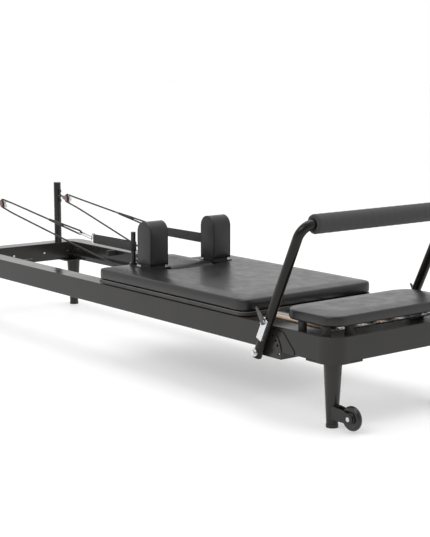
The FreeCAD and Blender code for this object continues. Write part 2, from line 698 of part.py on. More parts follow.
def carriage_frame():
    """Two beams, cross ribs, the spring anchor rod, wheel hangers and rope cleats."""
    low_z = dim.board_bottom - dim.beam_height
    inner = dim.beam_outer - dim.beam_width
    outer, hollow = [], []
    wall = dim.tube_wall
    for side, _ in SIDES:
        low_y = inner if side > 0 else -dim.beam_outer
        outer.append(box(beam_foot - beam_head, dim.beam_width, dim.beam_height, (beam_head, low_y, low_z)))
        hollow.append(box(beam_foot - beam_head, dim.beam_width - 2 * wall, dim.beam_height - 2 * wall,
                          (beam_head, low_y + wall, low_z + wall)))
        low_y = dim.beam_outer - dim.hanger_thickness if side > 0 else -dim.beam_outer
        for wheel_x in (carriage_foot - dim.wheel_foot, carriage_head + dim.wheel_head):
            hanger_low = wheel_level - dim.hanger_drop + 4
            outer.append(box(2 * dim.hanger_half, dim.hanger_thickness, low_z - hanger_low,
                             (wheel_x - dim.hanger_half, low_y, hanger_low)))
        outer.append(box(dim.cleat_length, dim.cleat_width, dim.cleat_height,
                         (cleat_x, side * dim.cleat_offset - dim.cleat_width / 2,
                          dim.board_bottom - dim.cleat_height)))
    for rib_x in (beam_head, beam_head + dim.rib_place, anchor_x - 2 * dim.rib_width):
        outer.append(box(dim.rib_width, 2 * inner, dim.beam_height, (rib_x, -inner, low_z)))
        hollow.append(box(dim.rib_width - 2 * wall, 2 * inner, dim.beam_height - 2 * wall,
                          (rib_x + wall, -inner, low_z + wall)))
    outer.append(rod(dim.anchor_radius, 2 * inner + wall, (anchor_x, -inner - wall / 2, dim.spring_level),
                     TURN_TO_Y))
    node(cut(fuse(*outer), *hollow), "carriage_frame")


def carriage_top():
    """The board and the cushion, with a bay in the cushion's head end for the headrest."""
    corners = rounded_rectangle(0, dim.carriage_length, dim.carriage_width / 2,
                                dim.head_corner, dim.foot_corner)
    board = node(pad("XY_Plane", corners, dim.board_thickness), "carriage_board")
    place(board, carriage_head, 0, dim.board_bottom)
    bay = dim.notch_width / 2
    bay_corners = [(0, bay), (dim.notch_length, bay), (dim.notch_length, -bay), (0, -bay)]
    head_edge = len(corners) - 1
    around_bay = corners[:head_edge] + bay_corners + corners[head_edge:]
    cushion = node(pad("XY_Plane", around_bay, dim.pad_thickness), "carriage_pad")
    place(cushion, carriage_head, 0, pad_bottom)


def load_wheels():
    """Four wheels that carry the carriage on the tracks, and the stub axles they turn on."""
    half = dim.wheel_width / 2
    chamfer = dim.wheel_chamfer
    profile = [(dim.wheel_bore, -half), (dim.wheel_radius - chamfer, -half),
               (dim.wheel_radius, -half + chamfer), (dim.wheel_radius, half - chamfer),
               (dim.wheel_radius - chamfer, half), (dim.wheel_bore, half)]
    shoulder = dim.wheel_face - dim.beam_outer - dim.rope_gap
    cap_start = dim.wheel_face + dim.wheel_width + dim.rope_gap
    axles = []
    for side, word in SIDES:
        for end_word, wheel_x in (("foot", carriage_foot - dim.wheel_foot),
                                  ("head", carriage_head + dim.wheel_head)):
            wheel = node(spin("XY_Plane", profile, "V_Axis"), f"{word}_{end_word}_wheel")
            place(wheel, wheel_x, side * (dim.wheel_face + half), wheel_level)
            parts = []
            for radius, start, length in ((dim.stub_radius, dim.beam_outer, cap_start + 2 - dim.beam_outer),
                                          (dim.stub_radius + 3, dim.beam_outer, shoulder),
                                          (dim.stub_radius + 2, cap_start, dim.cap_thickness)):
                low_y = start if side > 0 else -(start + length)
                parts.append(rod(radius, length, (wheel_x, low_y, wheel_level), TURN_TO_Y))
            axles.append(fuse(*parts))
    node(group(*axles), "wheel_axles")


def shoulder_rests():
    """Brackets bolted on the carriage, each with a peg and an upright padded rest."""
    rest_x = dim.rest_face - dim.rest_depth
    plate_x = dim.rest_face - dim.rest_depth / 2 - dim.bracket_length / 2
    inset = dim.stand_inset
    for side, word in SIDES:
        plate_y = side * dim.rest_offset
        peg_y = side * dim.peg_offset
        plate = box(dim.bracket_length, dim.bracket_width, dim.bracket_thickness,
                    (plate_x, plate_y - dim.bracket_width / 2, pad_top))
        arm = box(plate_x - dim.peg_place + 1, dim.bracket_arm, dim.bracket_thickness,
                  (dim.peg_place, peg_y - dim.bracket_arm / 2, pad_top))
        end = rod(dim.bracket_arm / 2, dim.bracket_thickness, (dim.peg_place, peg_y, pad_top))
        plate_top = pad_top + dim.bracket_thickness
        stand = box(dim.rest_depth - 2 * inset, dim.rest_width - 2 * inset, dim.rest_bottom - plate_top,
                    (rest_x + inset, plate_y - dim.rest_width / 2 + inset, plate_top))
        peg = rod(dim.peg_radius, dim.peg_top - plate_top, (dim.peg_place, peg_y, plate_top))
        collar = rod(dim.collar_radius, dim.collar_height, (dim.peg_place, peg_y, plate_top))
        node(fuse(plate, arm, end, stand, peg, collar), f"{word}_shoulder_bracket")

        top = dim.rest_top - dim.rest_bottom - dim.rest_depth / 2
        arch = [(0, 0), (dim.rest_depth, 0), (dim.rest_depth, top, dim.rest_depth / 2), (0, top)]
        rest = node(pad("XZ_Plane", arch, dim.rest_width, both=True), f"{word}_shoulder_rest")
        place(rest, rest_x, plate_y, dim.rest_bottom)


def headrest():
    """A hinged headrest: its board, and its cushion, whose foot end is a half round on the hinge line."""
    height = dim.headrest_top - dim.headrest_bottom - dim.headrest_board
    turn_radius = height / 2
    whole = rounded_rectangle(-dim.headrest_length, 0, dim.headrest_half, dim.headrest_corner, 1)
    short = rounded_rectangle(-dim.headrest_length, -turn_radius, dim.headrest_half, dim.headrest_corner, 1)
    board = node(pad("XY_Plane", short, dim.headrest_board), "headrest_board")
    place(board, dim.headrest_place, 0, dim.headrest_bottom)
    from_side = [(-dim.headrest_length - 1, 0), (-turn_radius, 0, turn_radius), (-turn_radius, height),
                 (-dim.headrest_length - 1, height)]
    cushion = common(pad("XY_Plane", whole, height),
                     pad("XZ_Plane", from_side, 2 * dim.headrest_half + 2, both=True))
    place(node(cushion, "headrest_pad"), dim.headrest_place, 0, dim.headrest_bottom + dim.headrest_board)


def wire_link(length, half, wire):
    """A closed oval of round wire, from x = 0 to x = -length along its middle line."""
    run = length - 2 * half
    ends = [torus(half, wire, (x_place, 0, 0)) for x_place in (-half, half - length)]
    inner = box(run, 4 * half, 4 * wire, (half - length, -2 * half, -2 * wire))
    bars = [rod(wire, run, (half - length, side * half, 0), TURN_TO_X) for side, _ in SIDES]
    return fuse(cut(fuse(*ends), inner), *bars)


def handles():
    """Webbing loops hung over the pegs, each with a D-ring and a snap link for the rope."""
    ring_inner = dim.ring_wire + 0.5
    hardware = []
    for side, word in SIDES:
        y_place = side * dim.peg_offset
        loops = []
        for extra in (dim.strap_thickness, 0):
            near, far = dim.strap_inner + extra, ring_inner + extra
            loop = [(0, -near, near), (0, near), (-dim.strap_reach, far, far), (-dim.strap_reach, -far)]
            loops.append(pad("XY_Plane", loop, dim.strap_height))
        strap = node(cut(*loops), f"{word}_handle_strap")
        place(strap, dim.peg_place, y_place, dim.strap_level - dim.strap_height / 2)

        bar_x = dim.peg_place - dim.strap_reach
        bow = torus(dim.ring_radius, dim.ring_wire, (bar_x, y_place, dim.strap_level), TURN_TO_Y)
        away = box(2 * dim.ring_radius, 4 * dim.ring_wire, 4 * dim.ring_radius,
                   (bar_x, y_place - 2 * dim.ring_wire, dim.strap_level - 2 * dim.ring_radius))
        reach = dim.ring_radius + dim.ring_wire
        bar = rod(dim.ring_wire, 2 * reach, (bar_x, y_place, dim.strap_level - reach))
        hardware.append(fuse(cut(bow, away), bar))
        link = turn(group(wire_link(dim.hook_length, dim.hook_half, dim.hook_wire)), dim.hook_tilt)
        hardware.append(place(link, dim.hook_place, y_place, dim.strap_level))
    node(group(*hardware), "handle_hardware")


# ---------------------------------------------------------------------------
# Pulleys and ropes
# ---------------------------------------------------------------------------


def pulleys():
    """A sheave between two cheeks on each riser, held to the middle eye by a shackle link."""
    half = dim.sheave_width / 2
    groove = dim.rope_radius + dim.rope_gap
    rim = dim.groove_radius + groove
    profile = [(dim.sheave_bore, -half), (dim.sheave_radius, -half), (dim.sheave_radius, -groove),
               (rim, -groove, -groove), (rim, groove), (dim.sheave_radius, groove),
               (dim.sheave_radius, half), (dim.sheave_bore, half)]
    rope_edge = dim.block_reach - dim.groove_radius - 2 * dim.rope_radius - dim.rope_gap
    bridge_end = rope_edge - dim.bridge_gap
    bridge_start = bridge_end - dim.bridge_length
    outer_half = dim.cheek_gap / 2 + dim.cheek_thickness
    for side, word in SIDES:
        y_place = side * dim.riser_offset
        cheek = [(bridge_start, -dim.cheek_low), (dim.block_reach, -dim.cheek_radius, dim.cheek_radius),
                 (dim.block_reach, dim.cheek_radius), (bridge_start, dim.cheek_low)]
        cheeks = pad("XZ_Plane", cheek, 2 * outer_half, both=True)
        gap = box(dim.block_reach, dim.cheek_gap, 4 * dim.cheek_radius,
                  (bridge_end, -dim.cheek_gap / 2, -2 * dim.cheek_radius))
        tang_start = dim.shackle_length - 2 * dim.tang_hole
        tang = box(bridge_start - tang_start + 1, 2 * dim.tang_half, 2 * dim.cheek_low,
                   (tang_start, -dim.tang_half, -dim.cheek_low))
        hole = rod(dim.tang_hole, 4 * dim.tang_half, (dim.shackle_length, -2 * dim.tang_half, 0), TURN_TO_Y)
        pin = rod(dim.sheave_pin, 2 * outer_half, (dim.block_reach, -outer_half, 0), TURN_TO_Y)
        heads = [rod(2 * dim.sheave_pin, dim.pin_head, (dim.block_reach, low_y, 0), TURN_TO_Y)
                 for low_y in (outer_half, -outer_half - dim.pin_head)]
        body = cut(fuse(cut(cheeks, gap), tang, pin, *heads), hole)
        oval = place(wire_link(dim.shackle_length, dim.shackle_half, dim.shackle_wire), dim.shackle_length)
        bolt = rod(dim.shackle_pin, 2 * dim.shackle_pin_half, (0, -dim.shackle_pin_half, 0), TURN_TO_Y)
        link = fuse(oval, bolt)
        block = turn(node(group(body, link), f"{word}_pulley_block"), dim.block_tilt)
        place(block, eye_x, y_place, dim.eye_level)
        sheave = node(spin("XY_Plane", profile, "V_Axis"), f"{word}_sheave")
        place(sheave, sheave_x, y_place, sheave_z)


def tangent_angle(x_place, z_place, over):
    """Where on the rope's circle round the sheave a line from a place touches it."""
    across, up = x_place - sheave_x.value, z_place - sheave_z.value
    swing = math.acos(rope_circle.value / math.hypot(across, up))
    return math.atan2(up, across) + (swing if over else -swing)


def on_sheave(angle, reach):
    return (sheave_x.value + reach * math.cos(angle), sheave_z.value + reach * math.sin(angle))


def rounded_path(points):
    """Straight runs joined by tangent arcs; a point is (x, y, z) or (x, y, z, radius)."""
    places = [FreeCAD.Vector(*p[:3]) for p in points]
    edges, radii = [], []
    start = places[0]
    for index in range(1, len(places) - 1):
        corner = places[index]
        back = places[index - 1] - corner
        onward = places[index + 1] - corner
        half_turn = (math.pi - back.getAngle(onward)) / 2
        shorter = min(back.Length, onward.Length)
        radius = points[index][3] if len(points[index]) == 4 else ARC_SHARE * shorter / math.tan(half_turn)
        setback = radius * math.tan(half_turn)
        back.normalize()
        onward.normalize()
        first, last = corner + back * setback, corner + onward * setback
        inward = (back + onward).normalize()
        middle = corner + inward * (radius / math.cos(half_turn) - radius)
        if (first - start).Length > TINY:
            edges.append(Part.LineSegment(start, first).toShape())
        edges.append(Part.Arc(first, middle, last).toShape())
        radii.append(radius)
        start = last
    edges.append(Part.LineSegment(start, places[-1]).toShape())
    return Part.Wire(edges), radii


def rope_route(side):
    """From the cleat under the carriage, round the sheave, to a loop through the snap link."""
    low = side * dim.cleat_offset.value
    block_y = side * dim.riser_offset.value
    handle_y = side * dim.peg_offset.value
    circle = rope_circle.value
    tilt = math.radians(dim.hook_tilt.value)
    reach = dim.hook_length.value
    hook = (dim.hook_place.value - reach * math.cos(tilt), dim.strap_level.value + reach * math.sin(tilt))

    lower = tangent_angle(cleat_x.value, cleat_z.value, over=False) + 2 * math.pi
    upper = tangent_angle(*hook, over=True)
    middle = (lower + upper) / 2
    quarter = (lower - upper) / 4
    corners = [on_sheave(angle, circle / math.cos(quarter)) for angle in (lower - quarter, upper + quarter)]
    touch_low, touch_high = on_sheave(lower, circle), on_sheave(upper, circle)

    bend_x = sheave_x.value + dim.sheave_lead.value
    share = (bend_x - cleat_x.value) / (touch_low[0] - cleat_x.value)
    bend_low = cleat_z.value + share * (touch_low[1] - cleat_z.value)
    along = FreeCAD.Vector(touch_high[0] - hook[0], 0, touch_high[1] - hook[1]).normalize()
    share = (bend_x - hook[0]) / (touch_high[0] - hook[0])
    bend_high = hook[1] + share * (touch_high[1] - hook[1])
    origin = FreeCAD.Vector(hook[0], handle_y, hook[1])
    rise = FreeCAD.Vector(-along.z, 0, along.x) * -1

    def beside(distance, offset):
        return tuple(origin + along * distance + rise * offset)

    loop = dim.loop_radius.value
    corner = dim.loop_corner.value
    apart = dim.strand_offset.value
    strands_meet = dim.sleeve_end.value + dim.strand_lead.value
    return [
        (cleat_x.value - dim.cleat_room.value, low, cleat_z.value),
        (bend_x, block_y, bend_low),
        (corners[0][0], block_y, corners[0][1], circle),
        (corners[1][0], block_y, corners[1][1], circle),
        (bend_x, block_y, bend_high),
        beside(dim.sleeve_start.value + dim.sleeve_lead.value, 0),
        beside(dim.sleeve_start.value - dim.sleeve_tuck.value, 0),
        beside(strands_meet, apart),
        beside(-corner, corner) + (loop,),
        beside(-corner, -corner) + (loop,),
        beside(strands_meet, -apart),
    ], origin, along


def ropes():
    """Both ropes as swept tubes, and the whippings that bind their end loops."""
    sleeves = []
    for side, word in SIDES:
        points, origin, along = rope_route(side)
        path, radii = rounded_path(points)
        start = FreeCAD.Vector(*points[0][:3])
        heading = FreeCAD.Vector(*points[1][:3]) - start
        ring = Part.Wire([Part.Circle(start, heading, dim.rope_radius.value).toShape()])
        tube = path.makePipeShell([ring], True, True)
        rope = node(doc.addObject("Part::Feature", "Rope"), f"{word}_rope")
        rope.Shape = tube
        rope.Placement = FreeCAD.Placement()
        section = math.pi * dim.rope_radius.value ** 2
        ratio = tube.Volume / (section * path.Length)
        print(f"{word} rope: {path.Length:.0f} mm long, volume ratio {ratio:.4f}")
        print("  bend radii:", " ".join(f"{radius:.0f}" for radius in radii))
        sleeve = cone(dim.sleeve_thin, dim.sleeve_thick, dim.sleeve_start - dim.sleeve_end)
        turned = FreeCAD.Rotation(FreeCAD.Vector(0, 0, 1), along * -1)
        sleeve.Placement = FreeCAD.Placement(FreeCAD.Vector(), turned)
        sleeves.append(cut(place(sleeve, *(origin + along * dim.sleeve_start.value)), rope))
    node(group(*sleeves), "rope_sleeves")


# ---------------------------------------------------------------------------
# Footbar
# ---------------------------------------------------------------------------


def bent_tube(radius, tail):
    """A U of round bar: arms up from the pivots, bends and the bar across, from the pivot line."""
    straight = dim.footbar_reach - dim.footbar_bend
    inner_y = dim.arm_offset - dim.footbar_bend
    solids = [rod(radius, 2 * inner_y, (0, -inner_y, dim.footbar_reach), TURN_TO_Y)]
    for side, _ in SIDES:
        solids.append(rod(radius, straight + tail, (0, side * dim.arm_offset, -tail)))
        across = FreeCAD.Vector(0, side, 0)
        up = FreeCAD.Vector(0, 0, 1)
        first, second = (across, up) if side > 0 else (up, across)
        quarter = FreeCAD.Rotation(first, second, first.cross(second), "XYZ")
        solids.append(torus(dim.footbar_bend, radius, (0, side * inner_y, straight), quarter, 90))
    return fuse(*solids)


def latch_housing(side):
    """A plate saddled on the arm's outer face, with ears and a pin for the lever."""
    face = dim.housing_face
    depth = dim.housing_depth
    low_y = face - depth if side > 0 else -face
    block = box(dim.housing_width, depth, dim.housing_length,
                (-dim.housing_width / 2, low_y, dim.housing_low))
    arm = rod(dim.tube_radius, dim.housing_length + 2, (0, side * dim.arm_offset, dim.housing_low - 1))
    hole = rod(dim.pin_radius + dim.pivot_clearance, depth + 2, (0, low_y - 1, dim.hole_circle), TURN_TO_Y)
    saddle = cut(block, arm, hole)
    ears = []
    height = dim.lever_level + dim.lever_thickness / 2 - face + 1
    low_y = face - dim.lever_level - 1 if side > 0 else -(height + face - dim.lever_level - 1)
    for ear_side in (-1, 1):
        near = dim.lever_width / 2 + dim.rope_gap
        low_x = near if ear_side > 0 else -(near + dim.ear_thickness)
        ears.append(box(dim.ear_thickness, height, dim.lever_thickness + 2,
                        (low_x, low_y, -(dim.lever_thickness / 2 + 1))))
    span = dim.lever_width + 2 * (dim.rope_gap + dim.ear_thickness)
    pin = rod(dim.lever_pin, span, (-span / 2, 0, 0), TURN_TO_X)
    yoke = turn(fuse(*ears, pin), -dim.lever_lean)
    place(yoke, 0, side * dim.lever_level, dim.lever_place)
    return fuse(saddle, yoke)


def latch_lever():
    """A tapered lever, modelled from its hinge pin and standing along +Z."""
    half = dim.lever_thickness / 2
    tip = dim.lever_length
    edge_on = [(half, 0), (half / 3, tip), (-half / 3, tip), (-half, 0, half)]
    face_on = [(-dim.lever_width / 2, -half), (dim.lever_width / 2, -half),
               (dim.lever_width / 2, tip / 3), (0, tip + 1), (-dim.lever_width / 3, tip + 1),
               (-dim.lever_width / 2, tip / 2)]
    blade = common(pad("YZ_Plane", edge_on, dim.lever_width, both=True),
                   pad("XZ_Plane", face_on, dim.lever_thickness, both=True))
    bore = rod(dim.lever_pin + dim.pivot_clearance, 2 * dim.lever_width,
               (-dim.lever_width, 0, 0), TURN_TO_X)
    return cut(blade, bore)


def footbar():
    """The bent tube, its foam grip, and a latch on each arm."""
    holes = []
    for side, _ in SIDES:
        low_y = side * dim.arm_offset - 2 * dim.tube_radius
        for radius, level in ((dim.pivot_radius, 0), (dim.pin_radius, dim.hole_circle)):
            holes.append(rod(radius + dim.pivot_clearance, 4 * dim.tube_radius,
                             (0, low_y, level), TURN_TO_Y))
    inside = bent_tube(dim.tube_radius - dim.tube_wall, dim.footbar_tail + 1)
    tube = cut(bent_tube(dim.tube_radius, dim.footbar_tail), inside, *holes)
    half = dim.grip_length / 2
    foam = rod(dim.grip_radius, dim.grip_length, (0, -half, dim.footbar_reach), TURN_TO_Y)
    core = rod(dim.tube_radius, dim.grip_length + 2, (0, -half - 1, dim.footbar_reach), TURN_TO_Y)
    housings = group(*[latch_housing(side) for side, _ in SIDES])
    for thing, name in ((tube, "footbar_tube"), (cut(foam, core), "footbar_grip"),
                        (housings, "latch_housings")):
        place(turn(node(thing, name), dim.footbar_lean), pivot_x, 0, dim.pivot_level)

    for side, word in SIDES:
        lever = turn(node(latch_lever(), f"{word}_latch_lever"), dim.footbar_lean - dim.lever_lean)
        place(lever, pivot_x + dim.lever_place * sin(dim.footbar_lean), side * dim.lever_level,
              dim.pivot_level + dim.lever_place * cos(dim.footbar_lean))
        length = dim.housing_face - dim.washer_gap - dim.pin_reach
        low_y = dim.pin_reach if side > 0 else -(dim.pin_reach + length)
        node(rod(dim.pin_radius, length,
                 (pivot_x + dim.hole_circle * sin(dim.footbar_lean), low_y,
                  dim.pivot_level + dim.hole_circle * cos(dim.footbar_lean)), TURN_TO_Y),
             f"{word}_latch_pin")


# ---------------------------------------------------------------------------
# Build, check and write
# ---------------------------------------------------------------------------

for make in (side_rails, crossbars, frame_corners, legs, running_tracks, carriage_stops, frame_screws,
             transport_wheels, pivot_bolts, footbar_brackets, platform, spring_bar, springs, risers,
             carriage_frame, carriage_top, load_wheels, shoulder_rests, headrest, handles, pulleys,
             ropes, footbar):
    make()
doc.recompute()

failed = [thing.Label for thing in doc.Objects if "Invalid" in thing.State or "Error" in thing.State]
failed += [part.Label for part in nodes if part.Shape.isNull() or not part.Shape.isValid()]
if failed:
    raise SystemExit("failed: " + ", ".join(failed))

os.makedirs("parts", exist_ok=True)
for part in nodes:
    part.Shape.exportStep(f"parts/{part.Label}.step")
whole = FreeCAD.BoundBox()
for part in nodes:
    whole.add(part.Shape.BoundBox)
print(len(nodes), "sub-parts")
print(f"box x {whole.XMin:.1f} {whole.XMax:.1f} y {whole.YMin:.1f} {whole.YMax:.1f}"
      f" z {whole.ZMin:.1f} {whole.ZMax:.1f}")
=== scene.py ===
import json
import math

import bmesh
import bpy
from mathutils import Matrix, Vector


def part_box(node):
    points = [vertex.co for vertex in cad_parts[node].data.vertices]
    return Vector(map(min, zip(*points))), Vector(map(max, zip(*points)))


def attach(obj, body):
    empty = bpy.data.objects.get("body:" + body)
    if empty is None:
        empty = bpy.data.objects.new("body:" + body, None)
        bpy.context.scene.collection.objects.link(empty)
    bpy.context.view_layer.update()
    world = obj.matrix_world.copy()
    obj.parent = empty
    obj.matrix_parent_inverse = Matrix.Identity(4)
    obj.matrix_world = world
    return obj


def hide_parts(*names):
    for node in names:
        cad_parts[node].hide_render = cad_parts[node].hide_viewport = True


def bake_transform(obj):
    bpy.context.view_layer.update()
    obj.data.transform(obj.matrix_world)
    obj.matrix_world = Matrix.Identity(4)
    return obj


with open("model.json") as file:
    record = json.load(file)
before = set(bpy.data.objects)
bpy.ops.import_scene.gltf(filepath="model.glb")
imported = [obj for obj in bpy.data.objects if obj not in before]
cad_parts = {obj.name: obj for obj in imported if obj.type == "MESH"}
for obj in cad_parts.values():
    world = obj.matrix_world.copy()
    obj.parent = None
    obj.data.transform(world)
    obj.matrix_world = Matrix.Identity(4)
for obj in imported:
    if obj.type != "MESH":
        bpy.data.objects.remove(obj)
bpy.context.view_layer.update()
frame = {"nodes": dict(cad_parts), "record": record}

MM = 0.001
SIDES = ((-1, "left"), (1, "right"))
WHITE = (1, 1, 1, 1)


def link(name, mesh):
    """A new object of a mesh or curve, in the scene."""
    piece = bpy.data.objects.new(name, mesh)
    bpy.context.scene.collection.objects.link(piece)
    return piece


def middle(node):
    """The middle of a CAD node's box."""
    low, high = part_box(node)
    return (Vector(low) + Vector(high)) / 2


def size_of(node):
    """The size of a CAD node's box along each axis."""
    low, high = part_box(node)
    return Vector(high) - Vector(low)


# ---------------------------------------------------------------------------
# Camera
# ---------------------------------------------------------------------------


CAMERA_PLACE = (4.3358, -3.2774, 1.2488)
CAMERA_DOWN = 9.21
CAMERA_HEADING = 51.46
CAMERA_LENS = 88.05
CAMERA_REACH = 60


def make_camera():
    data = bpy.data.cameras.new("camera")
    data.lens = CAMERA_LENS
    data.clip_end = CAMERA_REACH
    camera = link("camera", data)
    camera.location = CAMERA_PLACE
    camera.rotation_euler = (math.radians(90 - CAMERA_DOWN), 0, math.radians(CAMERA_HEADING))
    bpy.context.scene.camera = camera


make_camera()

# ---------------------------------------------------------------------------
# Materials
# ---------------------------------------------------------------------------


class Finish:
    """A Principled material whose nodes are added by short calls."""

    def __init__(self, name, colour, roughness, **sockets):
        self.material = bpy.data.materials.new(name)
        self.material.use_nodes = True
        self.tree = self.material.node_tree
        self.shader = self.tree.nodes["Principled BSDF"]
        self.colour = (*colour, 1)
        self.shader.inputs["Base Color"].default_value = self.colour
        self.shader.inputs["Roughness"].default_value = roughness
        for socket, value in sockets.items():
            self.shader.inputs[socket.replace("_", " ")].default_value = value
        self.places = self.node("ShaderNodeTexCoord").outputs["Object"]
        self.normal = None

    def node(self, kind, **values):
        node = self.tree.nodes.new(kind)
        for name, value in values.items():
            setattr(node, name, value)
        return node

    def join(self, start, end):
        self.tree.links.new(start, end)

    def stretched(self, scale):
        """Object coordinates, scaled by a different amount along each axis."""
        mapping = self.node("ShaderNodeMapping")
        mapping.inputs["Scale"].default_value = scale
        self.join(self.places, mapping.inputs["Vector"])
        return mapping.outputs["Vector"]

    def noise(self, scale, detail=3, places=None):
        texture = self.node("ShaderNodeTexNoise")
        texture.inputs["Scale"].default_value = scale
        texture.inputs["Detail"].default_value = detail
        self.join(places or self.places, texture.inputs["Vector"])
        return texture.outputs["Fac"]

    def cells(self, scale):
        texture = self.node("ShaderNodeTexVoronoi", feature="DISTANCE_TO_EDGE")
        texture.inputs["Scale"].default_value = scale
        self.join(self.places, texture.inputs["Vector"])
        return texture.outputs["Distance"]

    def waves(self, scale, direction):
        texture = self.node("ShaderNodeTexWave", bands_direction=direction)
        texture.inputs["Scale"].default_value = scale
        self.join(self.places, texture.inputs["Vector"])
        return texture.outputs["Fac"]

    def product(self, first, second):
        maths = self.node("ShaderNodeMath", operation="MULTIPLY")
        self.join(first, maths.inputs[0])
        self.join(second, maths.inputs[1])
        return maths.outputs[0]

    def between(self, factor, low, high):
        """A noise factor, mostly within 0.3 to 0.7, stretched to run from low to high."""
        spread = self.node("ShaderNodeMapRange")
        spread.inputs["From Min"].default_value = 0.3
        spread.inputs["From Max"].default_value = 0.7
        spread.inputs["To Min"].default_value = low
        spread.inputs["To Max"].default_value = high
        self.join(factor, spread.inputs["Value"])
        return spread.outputs["Result"]

    def bump(self, height, strength, distance):
        bump = self.node("ShaderNodeBump")
        bump.inputs["Strength"].default_value = strength
        bump.inputs["Distance"].default_value = distance
        self.join(height, bump.inputs["Height"])
        if self.normal is not None:
            self.join(self.normal, bump.inputs["Normal"])
        self.normal = bump.outputs["Normal"]
        self.join(self.normal, self.shader.inputs["Normal"])
        return self

    def vary_roughness(self, scale, low, high):
        spots = self.noise(scale, detail=4)
        self.join(self.between(spots, low, high), self.shader.inputs["Roughness"])
        return self

    def vary_colour(self, factor, other):
        """Mixes the base colour with another one."""
        mix = self.node("ShaderNodeMix", data_type="RGBA")
        mix.inputs["A"].default_value = self.colour
        mix.inputs["B"].default_value = (*other, 1)
        self.join(factor, mix.inputs["Factor"])
        self.join(mix.outputs["Result"], self.shader.inputs["Base Color"])
        return self


def grey(level, warm=0.0):
    """A grey, with a little more red and less blue where it is warm."""
    return (level * (1 + warm), level, level * (1 - warm))


def powder_coat(name, level=0.014, low=0.15, high=0.22):
    finish = Finish(name, grey(level), low, Specular_IOR_Level=0.32)
    finish.vary_roughness(scale=9, low=low, high=high)
    finish.vary_colour(finish.noise(scale=5, detail=6), grey(level * 1.5, 0.12))
    return finish.bump(finish.noise(scale=850, detail=2), strength=0.05, distance=0.0003).material


def gloss_paint(name):
    finish = Finish(name, grey(0.004, 0.1), 0.18, Specular_IOR_Level=0.25)
    finish.vary_roughness(scale=14, low=0.14, high=0.24)
    finish.vary_colour(finish.noise(scale=7, detail=5), grey(0.008, 0.2))
    return finish.bump(finish.noise(scale=500, detail=2), strength=0.05, distance=0.0003).material


def vinyl(name, level=0.010):
    finish = Finish(name, grey(level), 0.32, Specular_IOR_Level=0.42)
    finish.vary_roughness(scale=22, low=0.27, high=0.37)
    finish.vary_colour(finish.noise(scale=11, detail=5), grey(level * 1.3))
    finish.bump(finish.noise(scale=14, detail=3), strength=0.15, distance=0.0020)
    finish.bump(finish.cells(scale=620), strength=0.20, distance=0.0003)
    return finish.bump(finish.noise(scale=1700, detail=2), strength=0.10, distance=0.0002).material


def foam(name):
    finish = Finish(name, grey(0.020), 0.80, Sheen_Weight=0.08, Sheen_Roughness=0.6)
    finish.vary_colour(finish.noise(scale=420, detail=4), grey(0.034))
    finish.bump(finish.noise(scale=60, detail=3), strength=0.2, distance=0.001)
    return finish.bump(finish.cells(scale=900), strength=0.5, distance=0.0005).material


def rubber(name, level=0.010, roughness=0.6):
    finish = Finish(name, grey(level), roughness)
    finish.vary_roughness(scale=40, low=roughness - 0.1, high=roughness + 0.1)
    finish.vary_colour(finish.noise(scale=30, detail=4), grey(level * 1.7, 0.03))
    return finish.bump(finish.noise(scale=700, detail=3), strength=0.2, distance=0.0004).material


def metal(name, colour, low, high):
    finish = Finish(name, colour, low, Metallic=1.0)
    finish.vary_roughness(scale=260, low=low, high=high)
    finish.vary_colour(finish.noise(scale=70, detail=5), tuple(level * 0.72 for level in colour))
    return finish.bump(finish.noise(scale=420, detail=3), strength=0.12, distance=0.0002).material


def webbing(name):
    finish = Finish(name, grey(0.006), 0.70, Sheen_Weight=0.08, Sheen_Roughness=0.5)
    weave = finish.product(finish.waves(260, "X"), finish.waves(320, "Z"))
    finish.vary_colour(weave, grey(0.016))
    finish.bump(weave, strength=0.7, distance=0.0006)
    return finish.bump(finish.noise(scale=900, detail=3), strength=0.3, distance=0.0003).material


def cord_cloth(name, level=0.010):
    finish = Finish(name, grey(level), 0.75, Sheen_Weight=0.1, Sheen_Roughness=0.5)
    finish.vary_colour(finish.noise(scale=500, detail=3), grey(level * 2))
    return finish.bump(finish.noise(scale=1500, detail=2), strength=0.4, distance=0.0003).material


def stained_wood(name):
    finish = Finish(name, grey(0.020, 0.05), 0.55)
    grain = finish.noise(scale=90, detail=6, places=finish.stretched((0.08, 1, 1)))
    finish.vary_colour(grain, grey(0.038, 0.15))
    finish.vary_roughness(scale=25, low=0.45, high=0.65)
    return finish.bump(grain, strength=0.25, distance=0.0005).material


def plastic(name, colour, low=0.35, high=0.5):
    finish = Finish(name, colour, low)
    finish.vary_roughness(scale=35, low=low, high=high)
    finish.vary_colour(finish.noise(scale=60, detail=4), tuple(level * 1.3 for level in colour))
    return finish.bump(finish.noise(scale=900, detail=2), strength=0.12, distance=0.0003).material


def clear_plastic(name):
    finish = Finish(name, (0.85, 0.87, 0.88), 0.15, Transmission_Weight=0.6, IOR=1.46)
    finish.vary_roughness(scale=50, low=0.10, high=0.22)
    return finish.bump(finish.noise(scale=60, detail=2), strength=0.1, distance=0.0004).material


